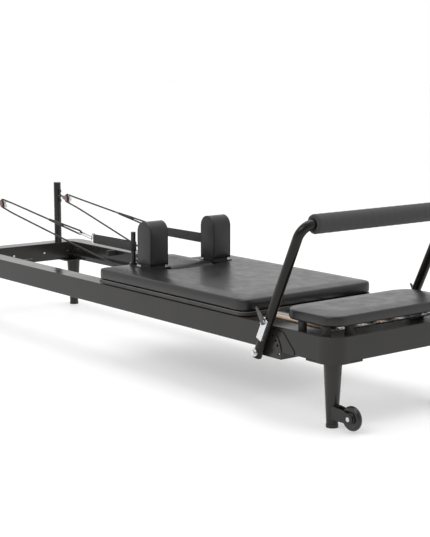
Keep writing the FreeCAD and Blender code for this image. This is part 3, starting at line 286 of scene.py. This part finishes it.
LOOKS = {
    "frame_paint": powder_coat("frame_paint"),
    "corner_castings": powder_coat("corner_castings", 0.014, 0.14, 0.20),
    "rubber_parts": rubber("rubber_parts"),
    "bright_steel": metal("bright_steel", (0.72, 0.73, 0.74), 0.22, 0.38),
    "spring_steel": metal("spring_steel", (0.60, 0.59, 0.57), 0.25, 0.40),
    "spring_copper": metal("spring_copper", (0.60, 0.47, 0.37), 0.30, 0.45),
    "boards": stained_wood("boards"),
    "vinyl": vinyl("vinyl"),
    "webbing": webbing("webbing"),
    "rope": cord_cloth("rope"),
    "wheel_plastic": plastic("wheel_plastic", grey(0.012)),
    "tyres": rubber("tyres", 0.006, 0.28),
    "foam_grip": foam("foam_grip"),
    "lever_plastic": plastic("lever_plastic", grey(0.055), 0.4, 0.55),
    "thread": cord_cloth("thread", 0.030),
    "piping": vinyl("piping", 0.10),
    "footbar_paint": gloss_paint("footbar_paint"),
    "hub_red": plastic("hub_red", (0.42, 0.10, 0.08)),
    "guard_clear": clear_plastic("guard_clear"),
    "block_steel": metal("block_steel", (0.20, 0.20, 0.21), 0.30, 0.45),
}


def dress(piece, look):
    """Gives a piece one material."""
    piece.data.materials.clear()
    piece.data.materials.append(LOOKS[look])


# nodes that don't look like the rest of their slot
OWN_LOOKS = {"footbar_tube": "footbar_paint", "left_pulley_block": "block_steel",
             "right_pulley_block": "block_steel"}


def finish_cad_nodes():
    """Every CAD node takes the material of its slot, or its own look."""
    for part in frame["record"]["subparts"]:
        node = frame["nodes"][part["node"]]
        look = OWN_LOOKS.get(part["node"], part["material_slot"])
        for material_slot in node.material_slots:
            material_slot.material = LOOKS[look]


finish_cad_nodes()

# ---------------------------------------------------------------------------
# Mesh helpers
# ---------------------------------------------------------------------------

SPLINE_STEPS = 24
TINY = 1e-9
STEEP = 0.9


def around_circle(radius, count):
    """Pairs evenly spaced round a circle."""
    return [(radius * math.cos(math.tau * step / count), radius * math.sin(math.tau * step / count))
            for step in range(count)]


def arc_pairs(radius, angles):
    """Pairs on a circle, at angles in degrees."""
    return [(radius * math.cos(math.radians(angle)), radius * math.sin(math.radians(angle)))
            for angle in angles]


def mesh_piece(name, points, faces, smooth=True):
    mesh = bpy.data.meshes.new(name)
    mesh.from_pydata([tuple(point) for point in points], [], faces)
    mesh.validate()
    mesh.polygons.foreach_set("use_smooth", [smooth] * len(mesh.polygons))
    return link(name, mesh)


def belong(piece, body, look, replaced=()):
    """Says what a piece rides on, which slot it takes and which CAD nodes it stands for."""
    dress(piece, look)
    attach(piece, body)
    if replaced:
        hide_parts(*replaced)


def apply_modifier(piece, modifier):
    bpy.context.view_layer.objects.active = piece
    bpy.ops.object.select_all(action="DESELECT")
    piece.select_set(True)
    bpy.ops.object.modifier_apply(modifier=modifier.name)


def swept(path, section, closed=False):
    """Points and faces of a tube. section(index, length) gives (along normal, along side) pairs."""
    path = [Vector(place) for place in path]
    count = len(path)
    points, faces = [], []
    normal = None
    length = 0.0
    for index, place in enumerate(path):
        if closed:
            tangent = path[(index + 1) % count] - path[index - 1]
        else:
            tangent = path[min(index + 1, count - 1)] - path[max(index - 1, 0)]
        tangent.normalize()
        if normal is None:
            normal = tangent.orthogonal()
            if abs(tangent.z) < STEEP:
                normal = (Vector((0, 0, 1)) - tangent * tangent.z).normalized()
        normal = (normal - tangent * normal.dot(tangent)).normalized()
        side = tangent.cross(normal)
        if index:
            length += (place - path[index - 1]).length
        ring = section(index, length)
        points += [place + normal * up + side * across for up, across in ring]
    around = len(points) // count
    for index in range(count if closed else count - 1):
        onward = (index + 1) % count
        for corner in range(around):
            after = (corner + 1) % around
            faces.append((index * around + corner, index * around + after,
                          onward * around + after, onward * around + corner))
    if not closed:
        faces.append(tuple(reversed(range(around))))
        faces.append(tuple(range((count - 1) * around, count * around)))
    return points, faces


def same_section(ring):
    """A section for swept() that is the same all along."""
    return lambda index, length: ring


def resample(path, step):
    """Places a step apart along a run of points."""
    path = [Vector(place) for place in path]
    lengths = [0.0]
    for first, second in zip(path, path[1:]):
        lengths.append(lengths[-1] + (second - first).length)
    count = max(2, round(lengths[-1] / step))
    places, run = [], 0
    for number in range(count + 1):
        target = lengths[-1] * number / count
        while run < len(path) - 2 and lengths[run + 1] < target:
            run += 1
        share = (target - lengths[run]) / max(lengths[run + 1] - lengths[run], TINY)
        places.append(path[run].lerp(path[run + 1], share))
    return places


def smooth_line(route):
    """Points read from the NURBS spline that has a route as its control points."""
    curve = bpy.data.curves.new("line", "CURVE")
    curve.dimensions = "3D"
    curve.resolution_u = SPLINE_STEPS
    spline = curve.splines.new("NURBS")
    spline.points.add(len(route) - 1)
    for point, place in zip(spline.points, route):
        point.co = (*place, 1)
    spline.order_u = 3
    spline.use_endpoint_u = True
    holder = link("line", curve)
    mesh = bpy.data.meshes.new_from_object(holder)
    line = [vertex.co.copy() for vertex in mesh.vertices]
    bpy.data.objects.remove(holder)
    bpy.data.meshes.remove(mesh)
    return line


# ---------------------------------------------------------------------------
# Ropes
# ---------------------------------------------------------------------------

# the route of the right rope, from its cleat, round the sheave, to the end loop and back
ROPE_ROUTE = [
    (-0.1329, 0.1000, 0.3150), (-1.0560, 0.1810, 0.5072), (-1.1500, 0.1810, 0.5267),
    (-1.1982, 0.1810, 0.5367), (-1.1921, 0.1810, 0.5735), (-1.1430, 0.1810, 0.5672),
    (-1.0560, 0.1810, 0.5565), (-0.7711, 0.1900, 0.5209), (-0.7363, 0.1900, 0.5165),
    (-0.6415, 0.1900, 0.5091), (-0.5150, 0.1900, 0.4961), (-0.4744, 0.1900, 0.4918),
    (-0.4764, 0.1900, 0.4759), (-0.5150, 0.1900, 0.4814), (-0.6426, 0.1900, 0.5004),
]
ROPE_RADIUS = 4 * MM
ROPE_STEP = 2 * MM
BRAID_PITCH = 18 * MM
BRAID_STRANDS = 4
WHIPPING_Y = 190 * MM
WHIPPING_Z = (517.1 * MM, 503.1 * MM)
WHIPPING_TURN = 4 * MM
WHIPPING_RIDGE = 0.5 * MM


def rope_blend(piece):
    """Bakes the piece's placement into its mesh; it rides on no body."""
    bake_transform(piece)


def braided(index, length):
    """A ring of the rope's surface: two sets of strands that cross."""
    around = 16
    turn = math.tau * length / BRAID_PITCH
    ring = []
    for step in range(around):
        angle = math.tau * step / around
        weave = math.cos(BRAID_STRANDS * angle + turn) * math.cos(BRAID_STRANDS * angle - turn)
        radius = ROPE_RADIUS * (0.95 + 0.07 * weave)
        ring.append((radius * math.cos(angle), radius * math.sin(angle)))
    return ring


def make_ropes():
    for side, word in SIDES:
        route = [(x, side * y, z) for x, y, z in ROPE_ROUTE]
        path = resample(smooth_line(route), ROPE_STEP)
        rope = mesh_piece(f"{word}_braided_rope", *swept(path, braided))
        dress(rope, "rope")
        rope_blend(rope)
        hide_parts(f"{word}_rope")


def make_sleeves():
    """The whipping that binds each rope's loop: ridged turns of cord over both strands."""
    low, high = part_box("rope_sleeves")
    pieces = []
    for side, word in SIDES:
        start = Vector((low[0], side * WHIPPING_Y, WHIPPING_Z[0]))
        end = Vector((high[0], side * WHIPPING_Y, WHIPPING_Z[1]))
        path = resample([start, end], 1 * MM)
        length = (end - start).length

        def section(index, place, length=length):
            share = place / length
            ridge = WHIPPING_RIDGE * abs(math.sin(math.pi * place / WHIPPING_TURN))
            tall = (5.0 + 3.4 * share) * MM + ridge
            wide = (5.0 + 0.6 * share) * MM + ridge
            return [(tall * up, wide * across) for up, across in around_circle(1, 16)]

        sleeve = mesh_piece(f"{word}_rope_whipping", *swept(path, section))
        dress(sleeve, "rope")
        rope_blend(sleeve)
        pieces.append(sleeve)
    for sleeve in pieces:
        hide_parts("rope_sleeves")


make_ropes()
make_sleeves()

# ---------------------------------------------------------------------------
# Cushions
# ---------------------------------------------------------------------------


CARRIAGE_CORNER = 45 * MM
CARRIAGE_HEAD_CORNER = 14 * MM
CARRIAGE_BAY = (217.5 * MM, 113 * MM)
PLATFORM_CORNER = 70 * MM
HEADREST_CORNER = 22 * MM
CUSHION_INSET = 1 * MM
RIM = 7 * MM
FOOT_BAND = 3 * MM
FLAT_SWELL = 4 * MM
REST_SWELL = 6 * MM
CLOTH_FRAMES = 20
CLOTH_PRESSURE = 4.0
PIPING_RADIUS = 1.3 * MM
WELT_RADIUS = 1.5 * MM
WELT_INSET = 1.2 * MM
WELT_STEP = 5 * MM


def corner_arc(centre, radius, start, steps):
    """A quarter circle from an angle, in degrees, going left."""
    return [(centre[0] + radius * math.cos(math.radians(start + 90 * step / steps)),
             centre[1] + radius * math.sin(math.radians(start + 90 * step / steps)))
            for step in range(steps + 1)]


def slab_outline(low, high, low_corner, high_corner, inset=0.0, bay=None):
    """A rectangle with round corners, seen from above; bay is (depth, half width) of a notch."""
    x0, y0, x1, y1 = low[0] + inset, low[1] + inset, high[0] - inset, high[1] - inset
    near, far = max(low_corner - inset, 2 * MM), max(high_corner - inset, 2 * MM)
    points = corner_arc((x1 - far, y0 + far), far, 270, 12)
    points += corner_arc((x1 - far, y1 - far), far, 0, 12)
    points += corner_arc((x0 + near, y1 - near), near, 90, 6)
    if bay:
        depth, half = bay[0] + inset, bay[1] + inset
        points += [(x0, half), (low[0] + depth, half), (low[0] + depth, -half), (x0, -half)]
    points += corner_arc((x0 + near, y0 + near), near, 180, 6)
    return points


def prism(name, outline, low, high, upright=False):
    """A closed solid from an outline. Upright ones have their outline in XZ and run along Y."""
    place = (lambda x, z, y: (x, y, z)) if upright else (lambda x, y, z: (x, y, z))
    count = len(outline)
    points = [place(*point, low) for point in outline] + [place(*point, high) for point in outline]
    faces = [tuple(reversed(range(count))), tuple(range(count, 2 * count))]
    faces += [(step, (step + 1) % count, count + (step + 1) % count, count + step)
              for step in range(count)]
    piece = mesh_piece(name, points, faces)
    mesh = bmesh.new()
    mesh.from_mesh(piece.data)
    bmesh.ops.recalc_face_normals(mesh, faces=mesh.faces)
    mesh.to_mesh(piece.data)
    mesh.free()
    return piece


def remesh(piece, voxel, soften):
    modifier = piece.modifiers.new("remesh", "REMESH")
    modifier.mode = "VOXEL"
    modifier.voxel_size = voxel
    apply_modifier(piece, modifier)
    mesh = bmesh.new()
    mesh.from_mesh(piece.data)
    for _ in range(soften):
        bmesh.ops.smooth_vert(mesh, verts=mesh.verts, factor=0.5,
                              use_axis_x=True, use_axis_y=True, use_axis_z=True)
    mesh.to_mesh(piece.data)
    mesh.free()


def inflate(piece, cap, held):
    """Blows a cushion up as cloth. held(place) is true where it is fixed to its board."""
    start = [vertex.co.copy() for vertex in piece.data.vertices]
    group = piece.vertex_groups.new(name="held")
    group.add([index for index, place in enumerate(start) if held(place)], 1.0, "REPLACE")
    cloth = piece.modifiers.new("cloth", "CLOTH")
    settings = cloth.settings
    settings.quality = 5
    settings.mass = 0.3
    settings.tension_stiffness = 15
    settings.compression_stiffness = 15
    settings.bending_stiffness = 0.5
    settings.use_pressure = True
    settings.uniform_pressure_force = CLOTH_PRESSURE
    settings.effector_weights.gravity = 0
    settings.vertex_group_mass = "held"
    cloth.point_cache.frame_start = 1
    cloth.point_cache.frame_end = CLOTH_FRAMES
    for number in range(1, CLOTH_FRAMES + 1):
        bpy.context.scene.frame_set(number)
    shaped = piece.evaluated_get(bpy.context.evaluated_depsgraph_get()).data
    moved = [vertex.co.copy() for vertex in shaped.vertices]
    piece.modifiers.remove(cloth)
    piece.vertex_groups.remove(group)
    for vertex, first, last in zip(piece.data.vertices, start, moved):
        shift = last - first
        if shift.length > cap:
            shift *= cap / shift.length
        vertex.co = first + shift
    bpy.context.scene.frame_set(1)


def distance_from(outline):
    """A function that gives how far a flat place is from a closed outline."""
    corners = [Vector(point) for point in outline]

    def distance(place):
        nearest = []
        for start, end in zip(corners, corners[1:] + corners[:1]):
            run = end - start
            share = (place - start).dot(run) / max(run.length_squared, TINY ** 2)
            nearest.append((start + run * min(max(share, 0), 1) - place).length)
        return min(nearest)

    return distance


def upholster(piece, held, cap, voxel=6 * MM, soften=2, trim=None):
    """Turns a plain solid into a padded one, which swells between its seams."""
    remesh(piece, voxel, soften)
    if trim:
        for vertex in piece.data.vertices:
            vertex.co = trim(vertex.co)
    inflate(piece, cap, held)
    modifier = piece.modifiers.new("fine", "SUBSURF")
    modifier.levels = 1
    apply_modifier(piece, modifier)
    piece.data.polygons.foreach_set("use_smooth", [True] * len(piece.data.polygons))


def welt(name, outline, level, radius, body, look="vinyl", upright=False):
    """A thin corded seam along a closed outline."""
    place = (lambda x, z: Vector((x, level, z))) if upright else (lambda x, y: Vector((x, y, level)))
    points = [place(*point) for point in outline]
    path = resample(points + [points[0]], WELT_STEP)[:-1]
    cord = same_section(around_circle(radius, 8))
    piece = mesh_piece(name, *swept(path, cord, closed=True))
    belong(piece, body, look)


def make_flat_cushion(name, node, body, low_corner, high_corner, bay=None, voxel=6 * MM, soften=2,
                      board=None):
    """A cushion that lies on its board, or wraps it. Its lower edge and its upper rim are held."""
    low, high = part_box(node)
    if board:
        low.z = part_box(board)[0].z
    outline = slab_outline(low, high, low_corner, high_corner, CUSHION_INSET, bay)
    top = high[2] - 2 * CUSHION_INSET
    cushion = prism(name, outline, low[2], top)
    distance = distance_from(outline)

    def held(place):
        on_rim = place.z > top - RIM and distance(place.xy) < RIM
        return on_rim or place.z < low[2] + FOOT_BAND

    upholster(cushion, held, cap=FLAT_SWELL, voxel=voxel, soften=soften)
    belong(cushion, body, "vinyl", (node, board) if board else (node,))


def make_headrest_cushion():
    """The headrest: a half round at its hinge, and round corners at its head end."""
    low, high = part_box("headrest_pad")
    corner = HEADREST_CORNER
    seam = 6 * MM
    x0, x1 = low[0] + CUSHION_INSET, high[0] - CUSHION_INSET
    z0, z1 = low[2], high[2] - CUSHION_INSET
    radius = (z1 - z0) / 2
    turns = 16
    end = [(x1 - radius + radius * math.sin(math.pi * step / turns),
            (z0 + z1) / 2 - radius * math.cos(math.pi * step / turns))
           for step in range(turns + 1)]
    outline = [(x0, z0)] + end + [(x0, z1)]
    half = high[1] - CUSHION_INSET
    cushion = prism("headrest_cushion", outline, -half, half, upright=True)
    distance = distance_from(outline)

    def round_corner(place):
        centre = Vector((x0 + corner, math.copysign(half - corner, place.y), place.z))
        out = place - centre
        if out.x < 0 and out.y * centre.y > 0 and out.length > corner:
            return centre + out * (corner / out.length)
        return place

    def held(place):
        on_seam = half - abs(place.y) < seam and distance(Vector((place.x, place.z))) < seam
        return on_seam or place.z < z0 + FOOT_BAND

    upholster(cushion, held, cap=FLAT_SWELL, trim=round_corner)
    belong(cushion, "headrest", "vinyl", ("headrest_pad",))


def make_cushions():
    make_flat_cushion("carriage_cushion", "carriage_pad", "carriage",
                      CARRIAGE_HEAD_CORNER, CARRIAGE_CORNER, CARRIAGE_BAY, voxel=8 * MM)
    make_flat_cushion("platform_cushion", "platform_pad", "frame",
                      PLATFORM_CORNER, PLATFORM_CORNER, soften=6, board="platform_board")
    make_headrest_cushion()

    low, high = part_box("carriage_pad")
    edge = slab_outline(low, high, CARRIAGE_HEAD_CORNER, CARRIAGE_CORNER, 0.5 * MM)
    welt("carriage_piping", edge, low[2], PIPING_RADIUS, "carriage", "piping")


def arch_outline(low, high, inset):
    """The side view of a shoulder rest: straight sides and a round top."""
    x0, x1 = low[0] + inset, high[0] - inset
    radius = (x1 - x0) / 2
    centre = ((x0 + x1) / 2, high[2] - inset - radius)
    turns = 20
    top = [(centre[0] + radius * math.cos(math.pi * step / turns),
            centre[1] + radius * math.sin(math.pi * step / turns)) for step in range(turns + 1)]
    return [(x0, low[2]), (x1, low[2])] + top


def make_shoulder_rests():
    seam = 5 * MM
    for _, word in SIDES:
        node = f"{word}_shoulder_rest"
        low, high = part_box(node)
        outline = arch_outline(low, high, CUSHION_INSET)
        y0, y1 = low[1] + CUSHION_INSET, high[1] - CUSHION_INSET
        rest = prism(f"{word}_rest_cushion", outline, y0, y1, upright=True)
        distance = distance_from(outline)

        def held(place, floor=low[2], y0=y0, y1=y1, distance=distance):
            on_side = min(place.y - y0, y1 - place.y) < seam
            return place.z < floor + FOOT_BAND or on_side and distance(Vector((place.x, place.z))) < seam

        upholster(rest, held, cap=REST_SWELL, voxel=4 * MM)
        belong(rest, "carriage", "vinyl", (node,))
        edge = arch_outline(low, high, CUSHION_INSET + WELT_INSET)
        for number, level in enumerate((y0 + WELT_INSET, y1 - WELT_INSET)):
            welt(f"{word}_rest_welt_{number}", edge, level, WELT_RADIUS, "carriage", upright=True)


make_cushions()
make_shoulder_rests()

# ---------------------------------------------------------------------------
# Handles, grip, springs and small pieces
# ---------------------------------------------------------------------------


STRAP_Y = 190 * MM
STRAP_THICK = 2.6 * MM
STRAP_LENGTH = 292 * MM
STRAP_STEP = 4 * MM
PEG_BEND = 12.1 * MM
RING_BEND = 4.5 * MM
STITCH_COLUMNS = (16 * MM, 22 * MM, 58 * MM, 64 * MM)
STITCH_ROWS = range(-7, 8)
STITCH_HALF = 0.8 * MM
THREAD_RADIUS = 0.35 * MM


def strap_section(half):
    """Flat webbing with slightly rolled edges."""
    face, edge = STRAP_THICK / 2, STRAP_THICK / 2 - 0.6 * MM
    flat = half - 0.8 * MM
    return [(half, edge), (flat, face), (0, face), (-flat, face), (-half, edge),
            (-half, -edge), (-flat, -face), (0, -face), (flat, -face), (half, -edge)]


def make_straps():
    """Webbing loops over the pegs, sewn together beside the D-ring."""
    for side, word in SIDES:
        node = f"{word}_handle_strap"
        low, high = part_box(node)
        peg_x, ring_x = high[0] - 13.6 * MM, low[0] + 6 * MM
        y = side * STRAP_Y
        half = (high[2] - low[2]) / 2 - 0.6 * MM
        level = (low[2] + high[2]) / 2
        loop = [(peg_x + along, across) for along, across in arc_pairs(PEG_BEND, range(-90, 91, 12))]
        loop += [(ring_x - along, across) for along, across in arc_pairs(RING_BEND, range(90, -91, -18))]
        route = [Vector((x, y + across, level)) for x, across in loop + loop[:1]]
        path = resample(route, STRAP_STEP)[:-1]
        strap = mesh_piece(f"{word}_webbing_loop",
                           *swept(path, same_section(strap_section(half)), closed=True))
        belong(strap, "carriage", "webbing", (node,))
        make_stitches(f"{word}_strap_stitches", y, ring_x, level, half)


def make_stitches(name, y, ring_x, level, half):
    """Rows of thread on both outer faces of a strap, near the ring."""
    points, faces = [], []
    thread = same_section(around_circle(THREAD_RADIUS, 6))
    reach = Vector((0, 0, STITCH_HALF))
    for face in (-1, 1):
        for column in STITCH_COLUMNS:
            for row in STITCH_ROWS:
                spread = RING_BEND + (PEG_BEND - RING_BEND) * column / STRAP_LENGTH
                centre = Vector((ring_x + column, y + face * (spread + STRAP_THICK / 2),
                                 level + row * half / 8))
                more, quads = swept(resample([centre - reach, centre + reach], STITCH_HALF), thread)
                faces += [tuple(index + len(points) for index in quad) for quad in quads]
                points += more
    belong(mesh_piece(name, points, faces), "carriage", "thread")


def turned_piece(name, centre, profile, around=64):
    """A solid of revolution about a line along Y. profile is (radius, y) pairs, closed."""
    points, faces = [], []
    count = len(profile)
    for step in range(around):
        angle = math.tau * step / around
        points += [(centre[0] + radius * math.cos(angle), centre[1] + y,
                    centre[2] + radius * math.sin(angle)) for radius, y in profile]
    for step in range(around):
        onward = (step + 1) % around
        for index in range(count):
            after = (index + 1) % count
            faces.append((step * count + index, step * count + after,
                          onward * count + after, onward * count + index))
    return mesh_piece(name, points, faces)


GRIP_OUTER = 34 * MM
GRIP_INNER = 17.6 * MM
GRIP_SOFT_END = 7 * MM
GRIP_RIPPLE = 0.25 * MM
GRIP_RIPPLE_TURN = 1.7
GRIP_RINGS = 60


def make_grip():
    """The foam sleeve on the footbar, with soft ends."""
    half = size_of("footbar_grip").y / 2
    shoulder, flat = GRIP_OUTER - GRIP_SOFT_END, half - GRIP_SOFT_END
    bend = arc_pairs(GRIP_SOFT_END, range(0, 91, 15))
    profile = [(GRIP_INNER, -half + 1 * MM)]
    profile += [(shoulder + out, -flat - along) for along, out in bend]
    profile += [(GRIP_OUTER - GRIP_RIPPLE * (1 + math.sin(step * GRIP_RIPPLE_TURN)),
                 -flat + 2 * flat * step / GRIP_RINGS) for step in range(1, GRIP_RINGS)]
    profile += [(shoulder + out, flat + along) for out, along in bend]
    profile += [(GRIP_INNER, half - 1 * MM)]
    centre = middle("footbar_grip")
    grip = turned_piece("foam_sleeve", centre, profile)
    belong(grip, "footbar", "foam_grip", ("footbar_grip",))


SPRING_COUNT = 5
COPPER_SPRINGS = (0, 3)
SPRING_SPACING = 92 * MM
SPRING_Z = 310 * MM
ANCHOR_X = 624.5 * MM
WIRE_RADIUS = 1.9 * MM
COIL_RADIUS = 12.0 * MM
COIL_GAP = 0.1 * MM
COIL_STEPS = 14
ANCHOR_HOOK = 8.6 * MM
BAR_HOOK = 12.6 * MM


def spring_path(bar_x, y):
    """The wire's line: a hook on the anchor bar, the close-wound coil, a hook on the spring bar."""
    first, last = ANCHOR_X + 17 * MM, bar_x - 21 * MM
    path = [Vector((ANCHOR_X + along, y, SPRING_Z + up))
            for along, up in arc_pairs(ANCHOR_HOOK, range(300, 40, -20))]
    path.append(Vector((ANCHOR_X + 13 * MM, y + 2 * MM, SPRING_Z + 9 * MM)))
    turns = (last - first) / (2 * WIRE_RADIUS + COIL_GAP)
    steps = int(turns * COIL_STEPS)
    path += [Vector((first + (last - first) * step / steps,
                     y + COIL_RADIUS * math.sin(math.tau * step / COIL_STEPS),
                     SPRING_Z + COIL_RADIUS * math.cos(math.tau * step / COIL_STEPS)))
             for step in range(steps + 1)]
    path.append(Vector((bar_x - 16 * MM, y + 2 * MM, SPRING_Z + 11 * MM)))
    path += [Vector((bar_x + along, y, SPRING_Z + up))
             for along, up in arc_pairs(BAR_HOOK, range(130, -140, -20))]
    return path


def make_springs():
    """Close-wound springs with a hook at each end; two of them are coppery."""
    bar_x = middle("spring_bar").x
    wire = same_section(around_circle(WIRE_RADIUS, 6))
    for number in range(SPRING_COUNT):
        y = (number - SPRING_COUNT // 2) * SPRING_SPACING
        spring = mesh_piece(f"coil_spring_{number}", *swept(spring_path(bar_x, y), wire))
        dress(spring, "spring_copper" if number in COPPER_SPRINGS else "spring_steel")
        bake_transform(spring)
        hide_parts("springs")


HUB_RADIUS = 10.5 * MM
HUB_BORE = 6.2 * MM
HUB_THICK = 1.0 * MM
GUARD_RADIUS = 26 * MM
GUARD_HALF_WIDTH = 7 * MM
GUARD_HALF_THICK = 0.6 * MM


def make_pulley_details():
    """Red hubs on the cheeks of each pulley block, and a clear guard in front of the sheave."""
    for _, word in SIDES:
        body = f"{word}_pulley_block"
        centre = middle(f"{word}_sheave")
        cheek = size_of(body).y / 2 - 1.5 * MM
        near, far = cheek + 0.05 * MM, cheek + HUB_THICK
        for face in (-1, 1):
            profile = [(HUB_BORE, face * near), (HUB_RADIUS, face * near),
                       (HUB_RADIUS - 0.3 * MM, face * far),
                       (HUB_RADIUS - 1.5 * MM, face * (far + 0.4 * MM)), (HUB_BORE, face * far)]
            hub = turned_piece(f"{word}_hub_{face + 1}", centre, profile, 40)
            belong(hub, body, "hub_red")
        arc = [Vector((centre.x + along, centre.y, centre.z + up))
               for along, up in arc_pairs(GUARD_RADIUS, range(-42, 43, 6))]
        wide, thick = GUARD_HALF_WIDTH, GUARD_HALF_THICK
        strip = [(thick, wide), (thick, -wide), (-thick, -wide), (-thick, wide)]
        guard = mesh_piece(f"{word}_rope_guard", *swept(arc, same_section(strip)))
        belong(guard, body, "guard_clear")


PLUG_X = -515 * MM
RAIL_MIDDLE_Y = 293.5 * MM
PLUG_AROUND = 32
# (radius, height above the rail), from the rail to the middle of the plug's top
PLUG_RINGS = ((9 * MM, 0), (9 * MM, 0.8 * MM), (7.5 * MM, 1.5 * MM), (0.5 * MM, 1.7 * MM))


def make_rail_plugs():
    """Plastic plugs in the tops of the side rails."""
    for side, word in SIDES:
        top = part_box(f"{word}_rail")[1][2]
        y = side * RAIL_MIDDLE_Y
        points, faces = [], []
        for radius, height in PLUG_RINGS:
            points += [(PLUG_X + along, y + across, top + height)
                       for along, across in around_circle(radius, PLUG_AROUND)]
        for start in range(0, len(points) - PLUG_AROUND, PLUG_AROUND):
            for step in range(PLUG_AROUND):
                onward = (step + 1) % PLUG_AROUND
                faces.append((start + step, start + onward,
                              start + PLUG_AROUND + onward, start + PLUG_AROUND + step))
        faces.append(tuple(range(len(points) - PLUG_AROUND, len(points))))
        faces.append(tuple(reversed(range(PLUG_AROUND))))
        belong(mesh_piece(f"{word}_rail_plug", points, faces), "frame", "rubber_parts")


make_straps()
make_grip()
make_springs()
make_pulley_details()
make_rail_plugs()

# ---------------------------------------------------------------------------
# Floor and light
# ---------------------------------------------------------------------------


FLOOR_REACH = 200
FLOOR_GREY = 0.68
FLOOR_GLOW = 0.34
# the studio's darker side, toward the camera, which the paint and the vinyl reflect
DARK_SIDE = (0.76, -0.62, 0.12)
DARK_SIDE_LEVEL = 0.35
LIGHT_POWER = 60


def make_floor():
    """A plain pale floor that glows a little, so that shadows on it stay soft."""
    reach = FLOOR_REACH
    corners = [(-reach, -reach, 0), (reach, -reach, 0), (reach, reach, 0), (-reach, reach, 0)]
    floor = mesh_piece("floor", corners, [(0, 1, 2, 3)], smooth=False)
    paint = Finish("floor_paint", grey(FLOOR_GREY), 0.6)
    paint.shader.inputs["Emission Color"].default_value = WHITE
    paint.shader.inputs["Emission Strength"].default_value = FLOOR_GLOW
    floor.data.materials.append(paint.material)


def area_light(name, place, target, size):
    data = bpy.data.lights.new(name, "AREA")
    data.shape = "RECTANGLE"
    data.size, data.size_y = size
    data.energy = LIGHT_POWER
    light = link(name, data)
    light.location = place
    heading = Vector(target) - Vector(place)
    light.rotation_euler = heading.to_track_quat("-Z", "Y").to_euler()


def make_light():
    """White all round, darker toward one side, with a key light and a top light."""
    world = bpy.data.worlds.new("studio")
    world.use_nodes = True
    nodes, links = world.node_tree.nodes, world.node_tree.links
    background = nodes["Background"]
    background.inputs["Color"].default_value = WHITE
    shade = nodes.new("ShaderNodeVectorMath")
    shade.operation = "DOT_PRODUCT"
    shade.inputs[1].default_value = Vector(DARK_SIDE).normalized()
    places = nodes.new("ShaderNodeTexCoord")
    spread = nodes.new("ShaderNodeMapRange")
    spread.interpolation_type = "SMOOTHSTEP"
    spread.inputs["From Min"].default_value = 0.35
    spread.inputs["From Max"].default_value = 0.92
    spread.inputs["To Min"].default_value = 1.0
    spread.inputs["To Max"].default_value = DARK_SIDE_LEVEL
    links.new(places.outputs["Generated"], shade.inputs[0])
    links.new(shade.outputs["Value"], spread.inputs["Value"])
    links.new(spread.outputs["Result"], background.inputs["Strength"])
    bpy.context.scene.world = world
    bpy.context.scene.view_settings.view_transform = "Standard"
    area_light("key", place=(1.5, -3.5, 3.5), target=(0, 0, 0.4), size=(3.0, 2.0))
    area_light("top", place=(0, 0.5, 4.0), target=(0, 0, 0.3), size=(4.0, 2.5))


make_floor()
make_light()
